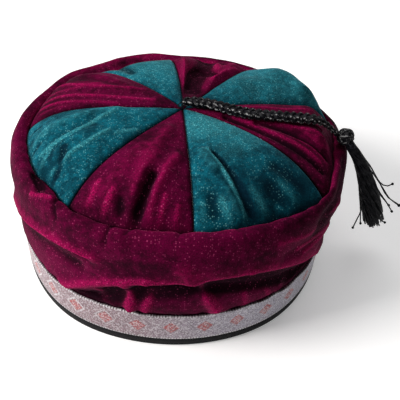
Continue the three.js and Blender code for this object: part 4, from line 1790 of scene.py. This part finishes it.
# stray threads of the tassel, in metres, each ending in a small knot
STRAY_THREADS = (
    ((0.1012, -0.0135, 0.0705), (0.106, -0.0125, 0.0685), (0.1158, -0.0135, 0.0561),
     (0.1239, -0.014, 0.0449), (0.1287, -0.0145, 0.0412), (0.1339, -0.015, 0.0382)),
    ((0.1005, -0.015, 0.0715), (0.1062, -0.0165, 0.0672), (0.117, -0.0165, 0.0548),
     (0.125, -0.016, 0.0447), (0.13, -0.0155, 0.0405), (0.1335, -0.0153, 0.038)),
    ((0.1, -0.016, 0.071), (0.1058, -0.017, 0.0666), (0.1157, -0.018, 0.0523),
     (0.1231, -0.018, 0.0433), (0.1291, -0.018, 0.0355)),
    ((0.1, -0.012, 0.071), (0.1066, -0.011, 0.0655), (0.115, -0.011, 0.0508),
     (0.122, -0.012, 0.0425), (0.1285, -0.013, 0.036)),
    ((0.104, -0.014, 0.069), (0.1083, -0.013, 0.066), (0.1176, -0.013, 0.0539),
     (0.1226, -0.013, 0.0511), (0.1257, -0.013, 0.0528)),
    ((0.103, -0.016, 0.06), (0.1078, -0.018, 0.048), (0.1097, -0.019, 0.0361),
     (0.1091, -0.019, 0.0286), (0.1084, -0.019, 0.0217)),
    ((0.104, -0.012, 0.058), (0.1082, -0.0125, 0.0441), (0.112, -0.0125, 0.0321),
     (0.1153, -0.0125, 0.0195)),
    ((0.11, -0.014, 0.05), (0.1176, -0.0165, 0.0365), (0.1237, -0.0175, 0.0285),
     (0.1275, -0.018, 0.0262)),
)


@dataclass
class Tassel:
    """The wound knot, the skirt of threads and the strays that end in small knots."""

    cord_finish: bpy.types.Material
    thread_finish: bpy.types.Material
    knot_radius: float = 4.8
    wrap_radius: float = 0.9
    core_inset: float = 1.2
    threads: int = 230
    thread_steps: int = 10
    thread_radius: float = 0.36
    stray_radius: float = 0.4
    end_knot_radius: float = 0.85
    seed: int = 7

    def knot(self) -> bpy.types.Object:
        """Wind the knot.

        Returns:
            The piece.
        """
        sheet = bmesh.new()
        sheet.loops.layers.uv.new("UVMap")
        core = (self.knot_radius - self.core_inset) * MM
        bmesh.ops.create_icosphere(sheet, subdivisions=3, radius=core, matrix=Matrix.Translation(KNOT_CENTRE))
        maker = TubeMaker(6, 200)
        slope = Vector(SKIRT_LINE[0]) - Vector(CORD_ROUTE[-1])
        turn = Vector((0, 0, 1)).rotation_difference(slope).to_matrix()
        centre = np.array(KNOT_CENTRE)
        t = np.linspace(0, 2 * np.pi, 201)
        for k in range(2):
            spin = 4 * t + k * np.pi / 4
            rise = math.radians(64) * np.sin(5 * t + k * 1.2)
            reach = (self.knot_radius - self.wrap_radius + 0.28 * np.sin(20 * t)) * MM
            level = reach * np.cos(rise)
            loop = np.column_stack((level * np.cos(spin), level * np.sin(spin), reach * np.sin(rise)))
            wrap = np.full(201, self.wrap_radius * MM)
            maker.add(sheet, loop @ np.array(turn).T + centre, wrap, (0.3, 0.5, 0.81))
        # an even share of painted highlight over the knot
        store_shares(sheet, edge=np.full(len(sheet.verts), 0.76))
        return finish_piece(sheet, "tassel_knot", self.cord_finish)

    def thread_line(self, chance: Random, line: np.ndarray, frames: tuple, steps: int) -> np.ndarray:
        """Lay one thread of the skirt.

        Args:
            chance: The seeded source of its differences.
            line: The skirt's middle line.
            frames: Directions along it.
            steps: How many parts the thread has.

        Returns:
            The thread's points.
        """
        _, side, up = frames
        turn = chance.uniform(0, 2 * math.pi)
        ring = math.sqrt(chance.uniform(0.02, 1))
        end = chance.uniform(0.84, 0.965)
        sway = [chance.uniform(-1, 1) for _ in range(4)]
        fall = np.linspace(0, end, steps + 1)
        place = fall * (len(line) - 1)
        spots = np.column_stack([np.interp(place, np.arange(len(line)), line[:, k]) for k in range(3)])
        index = np.rint(place).astype(int)
        open_share = smoothstep(fall, -0.15, 1.0) ** 0.8
        wide = 2.0 + 6.4 * open_share
        deep = 1.6 + 4.6 * open_share
        twist = turn + 2.6 * fall + 0.4 * sway[3] * fall
        wave = 0.55 * sway[1] * np.sin(5 * fall + 3 * sway[2]) * open_share
        a = ring * np.cos(twist) * wide + wave
        b = ring * np.sin(twist) * deep + wave * sway[0]
        return spots + MM * (b[:, None] * side[index] + a[:, None] * up[index])

    def skirt(self) -> bpy.types.Object:
        """Hang the threads.

        Returns:
            The piece.
        """
        chance = Random(self.seed)
        line = smooth_line((KNOT_CENTRE,) + SKIRT_LINE, 60)
        frames = line_frames(line, (0, 1, 0))
        maker = TubeMaker(5, self.thread_steps)
        count = self.thread_steps + 1
        sheet = bmesh.new()
        for _ in range(self.threads):
            points = self.thread_line(chance, line, frames, self.thread_steps)
            radius = self.thread_radius * chance.uniform(0.8, 1.25) * MM
            maker.add(sheet, points, radius * np.linspace(0.9, 1.1, count), (0, 1, 0))
        for stray in STRAY_THREADS:
            points = smooth_line(stray, count)
            maker.add(sheet, points, np.full(count, self.stray_radius * MM), (0, 1, 0))
            end_knot = Matrix.Translation(points[-1])
            bmesh.ops.create_icosphere(
                sheet, subdivisions=2, radius=self.end_knot_radius * MM, matrix=end_knot
            )
        # a share of painted highlight that fades away from the knot
        shares = [1 - 0.014 * abs((vert.co - Vector(KNOT_CENTRE)).length / MM) for vert in sheet.verts]
        store_shares(sheet, edge=np.array(shares) * 0.8)
        return finish_piece(sheet, "tassel_skirt", self.thread_finish)

    def build(self) -> list[bpy.types.Object]:
        """Build the tassel.

        Returns:
            The pieces.
        """
        knot, skirt = self.knot(), self.skirt()
        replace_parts(skirt, "tassel")
        return [knot, skirt]


@dataclass
class Studio:
    """Camera, pale floor and soft lights."""

    focal_pixels: float = 520.0
    distance: float = 348.182
    elevation: float = 43.87
    pan: float = -2.281
    tilt: float = 2.823
    roll: float = 2.208
    picture_pixels: float = 400.0
    sensor: float = 36.0
    floor_size: float = 3.0
    floor_drop: float = 0.0002
    floor_glow: float = 0.28

    def camera(self) -> None:
        """Place the camera as the photo's stood."""
        rise = math.radians(self.elevation)
        back = Vector((0, -math.cos(rise), math.sin(rise)))
        right = Vector((1, 0, 0))
        up = Vector((0, math.sin(rise), math.cos(rise)))
        turn = Matrix.Rotation(math.radians(self.pan), 3, up)
        right, back = turn @ right, turn @ back
        turn = Matrix.Rotation(math.radians(self.tilt), 3, right)
        up, back = turn @ up, turn @ back
        turn = Matrix.Rotation(math.radians(self.roll), 3, back)
        right, up = turn @ right, turn @ up
        data = bpy.data.cameras.new("camera")
        data.sensor_width = self.sensor
        data.lens = self.sensor * self.focal_pixels / self.picture_pixels
        data.clip_start, data.clip_end = 0.01, 20
        camera = bpy.data.objects.new("camera", data)
        bpy.context.scene.collection.objects.link(camera)
        place = Matrix((right, up, back)).transposed().to_4x4()
        eye = Vector((0, -self.distance * math.cos(rise), self.distance * math.sin(rise))) * MM
        camera.matrix_world = Matrix.Translation(eye) @ place
        bpy.context.scene.camera = camera

    def floor(self) -> None:
        """Lay the floor."""
        sheet = bmesh.new()
        bmesh.ops.create_grid(sheet, x_segments=4, y_segments=4, size=self.floor_size)
        bmesh.ops.translate(sheet, verts=sheet.verts[:], vec=(0, 0, -self.floor_drop))
        mesh = bpy.data.meshes.new("floor")
        sheet.to_mesh(mesh)
        sheet.free()
        material, wiring, shader = start_material("pale_floor")
        place = wiring.add("ShaderNodeTexCoord").outputs["Object"]
        fine = wiring.cloud(place, 30.0, 2.0, 0.5)
        colour = wiring.mix(fine, (0.93, 0.93, 0.93, 1), (0.96, 0.96, 0.96, 1))
        wiring.feed(shader.inputs["Base Color"], colour)
        shader.inputs["Roughness"].default_value = 0.9
        shader.inputs["Emission Color"].default_value = (1.0, 1.0, 1.0, 1)
        shader.inputs["Emission Strength"].default_value = self.floor_glow
        mesh.materials.append(material)
        floor = bpy.data.objects.new("floor", mesh)
        bpy.context.scene.collection.objects.link(floor)

    def light(self, name: str, spot: tuple, size: float, power: float, tone: tuple) -> None:
        """Hang a soft square light that faces the cap.

        Args:
            name: Its name.
            spot: Where it hangs.
            size: Its side.
            power: Its power in watts.
            tone: Its colour.
        """
        data = bpy.data.lights.new(name, "AREA")
        data.shape = "SQUARE"
        data.size, data.energy, data.color = size, power, tone
        lamp = bpy.data.objects.new(name, data)
        lamp.location = spot
        aim = Vector((0, 0, 0.05)) - Vector(spot)
        lamp.rotation_euler = aim.to_track_quat("-Z", "Y").to_euler()
        bpy.context.scene.collection.objects.link(lamp)

    def world(self) -> None:
        """Fill the surroundings with pale light."""
        world = bpy.data.worlds.new("pale_surroundings")
        world.use_nodes = True
        shade = world.node_tree.nodes["Background"]
        shade.inputs["Color"].default_value = (0.95, 0.97, 1.0, 1)
        shade.inputs["Strength"].default_value = 0.06
        bpy.context.scene.world = world
        bpy.context.scene.view_settings.view_transform = "Standard"

    def build(self) -> None:
        """Lay the floor and hang the lights."""
        self.floor()
        self.world()
        self.light("key_left", (-0.92, -0.24, 0.66), 0.45, 17.0, (1.0, 0.97, 0.95))
        self.light("top_back", (0.1, 0.6, 1.1), 1.2, 8.5, (1.0, 1.0, 1.0))


def main() -> None:
    """Build the cap's pieces in order and report each."""
    logging.basicConfig(level=logging.INFO, format="%(name)s: %(message)s")
    studio = Studio()
    studio.camera()
    cord_thread = ThreadFinish(
        name="plait_thread",
        body=(0.002, 0.002, 0.004, 1),
        lit=(0.36, 0.36, 0.36, 1),
        twist=22.0,
        strands=3.0,
        dark_share=0.62,
    ).material()
    loose_thread = ThreadFinish(
        name="loose_thread",
        body=(0.0015, 0.0015, 0.004, 1),
        lit=(0.12, 0.12, 0.15, 1),
        twist=9.0,
        strands=2.0,
        dark_share=0.66,
    ).material()
    cord = PlaitedCord(cord_thread)
    plait = cord.build()
    tassel = Tassel(cord_thread, loose_thread).build()
    LOG.info("cord of %.1f mm and its tassel", cord.length / MM)
    LOG.info("%s sewn", cord.centre_stitch().name)
    shared = SharedEffects()
    form = CapForm()
    burgundy = VelvetFinish(
        name="burgundy_velvet",
        deep=(0.006, 0.0001, 0.003, 1),
        body=(0.1, 0.0002, 0.027, 1),
        lit=(0.4, 0.004, 0.088, 1),
        glint=(0.72, 0.09, 0.26, 1),
        sheen=(0.95, 0.2, 0.44, 1),
        sheen_weight=0.12,
        glint_share=0.2,
        glint_strength=0.6,
    ).material(shared)
    teal = VelvetFinish(
        name="teal_velvet",
        deep=(0.0003, 0.01, 0.02, 1),
        body=(0.004, 0.122, 0.17, 1),
        lit=(0.05, 0.31, 0.35, 1),
        glint=(0.24, 0.74, 0.76, 1),
        sheen=(0.3, 0.8, 0.9, 1),
        sheen_weight=0.45,
        glint_share=0.34,
        glint_strength=0.8,
    ).material(shared)
    pieces = Crown(form, {Cloth.TEAL: teal, Cloth.BURGUNDY: burgundy}).build()
    LOG.info("crown of %d wedges", len(pieces))
    band = SideBand(form, burgundy).build()
    LOG.info("%s of %d faces", band.name, len(band.data.polygons))
    ribbon = RibbonTrim(
        form,
        RibbonFinish(
            name="woven_silver",
            silver=(0.48, 0.27, 0.31, 1),
            silver_in_cool_light=(0.8, 0.78, 0.97, 1),
            shadow=(0.13, 0.09, 0.11, 1),
            salmon=(0.58, 0.045, 0.035, 1),
            white=(0.92, 0.89, 0.92, 1),
            repeats=33,
            first_angle=8.6,
            diamond_width=8.6,
            diamond_height=9.2,
        ),
    ).build(shared)
    LOG.info("%s of %d faces", ribbon.name, len(ribbon.data.polygons))
    tape = BindingFinish(name="ribbed_black", body=(0.005, 0.005, 0.006, 1), lighter_patch=(0.018, 0.018, 0.021, 1))
    binding = RimBinding(form, tape).build(shared)
    LOG.info("%s of %d faces", binding.name, len(binding.data.polygons))
    studio.build()


if __name__ == "__main__":
    main()
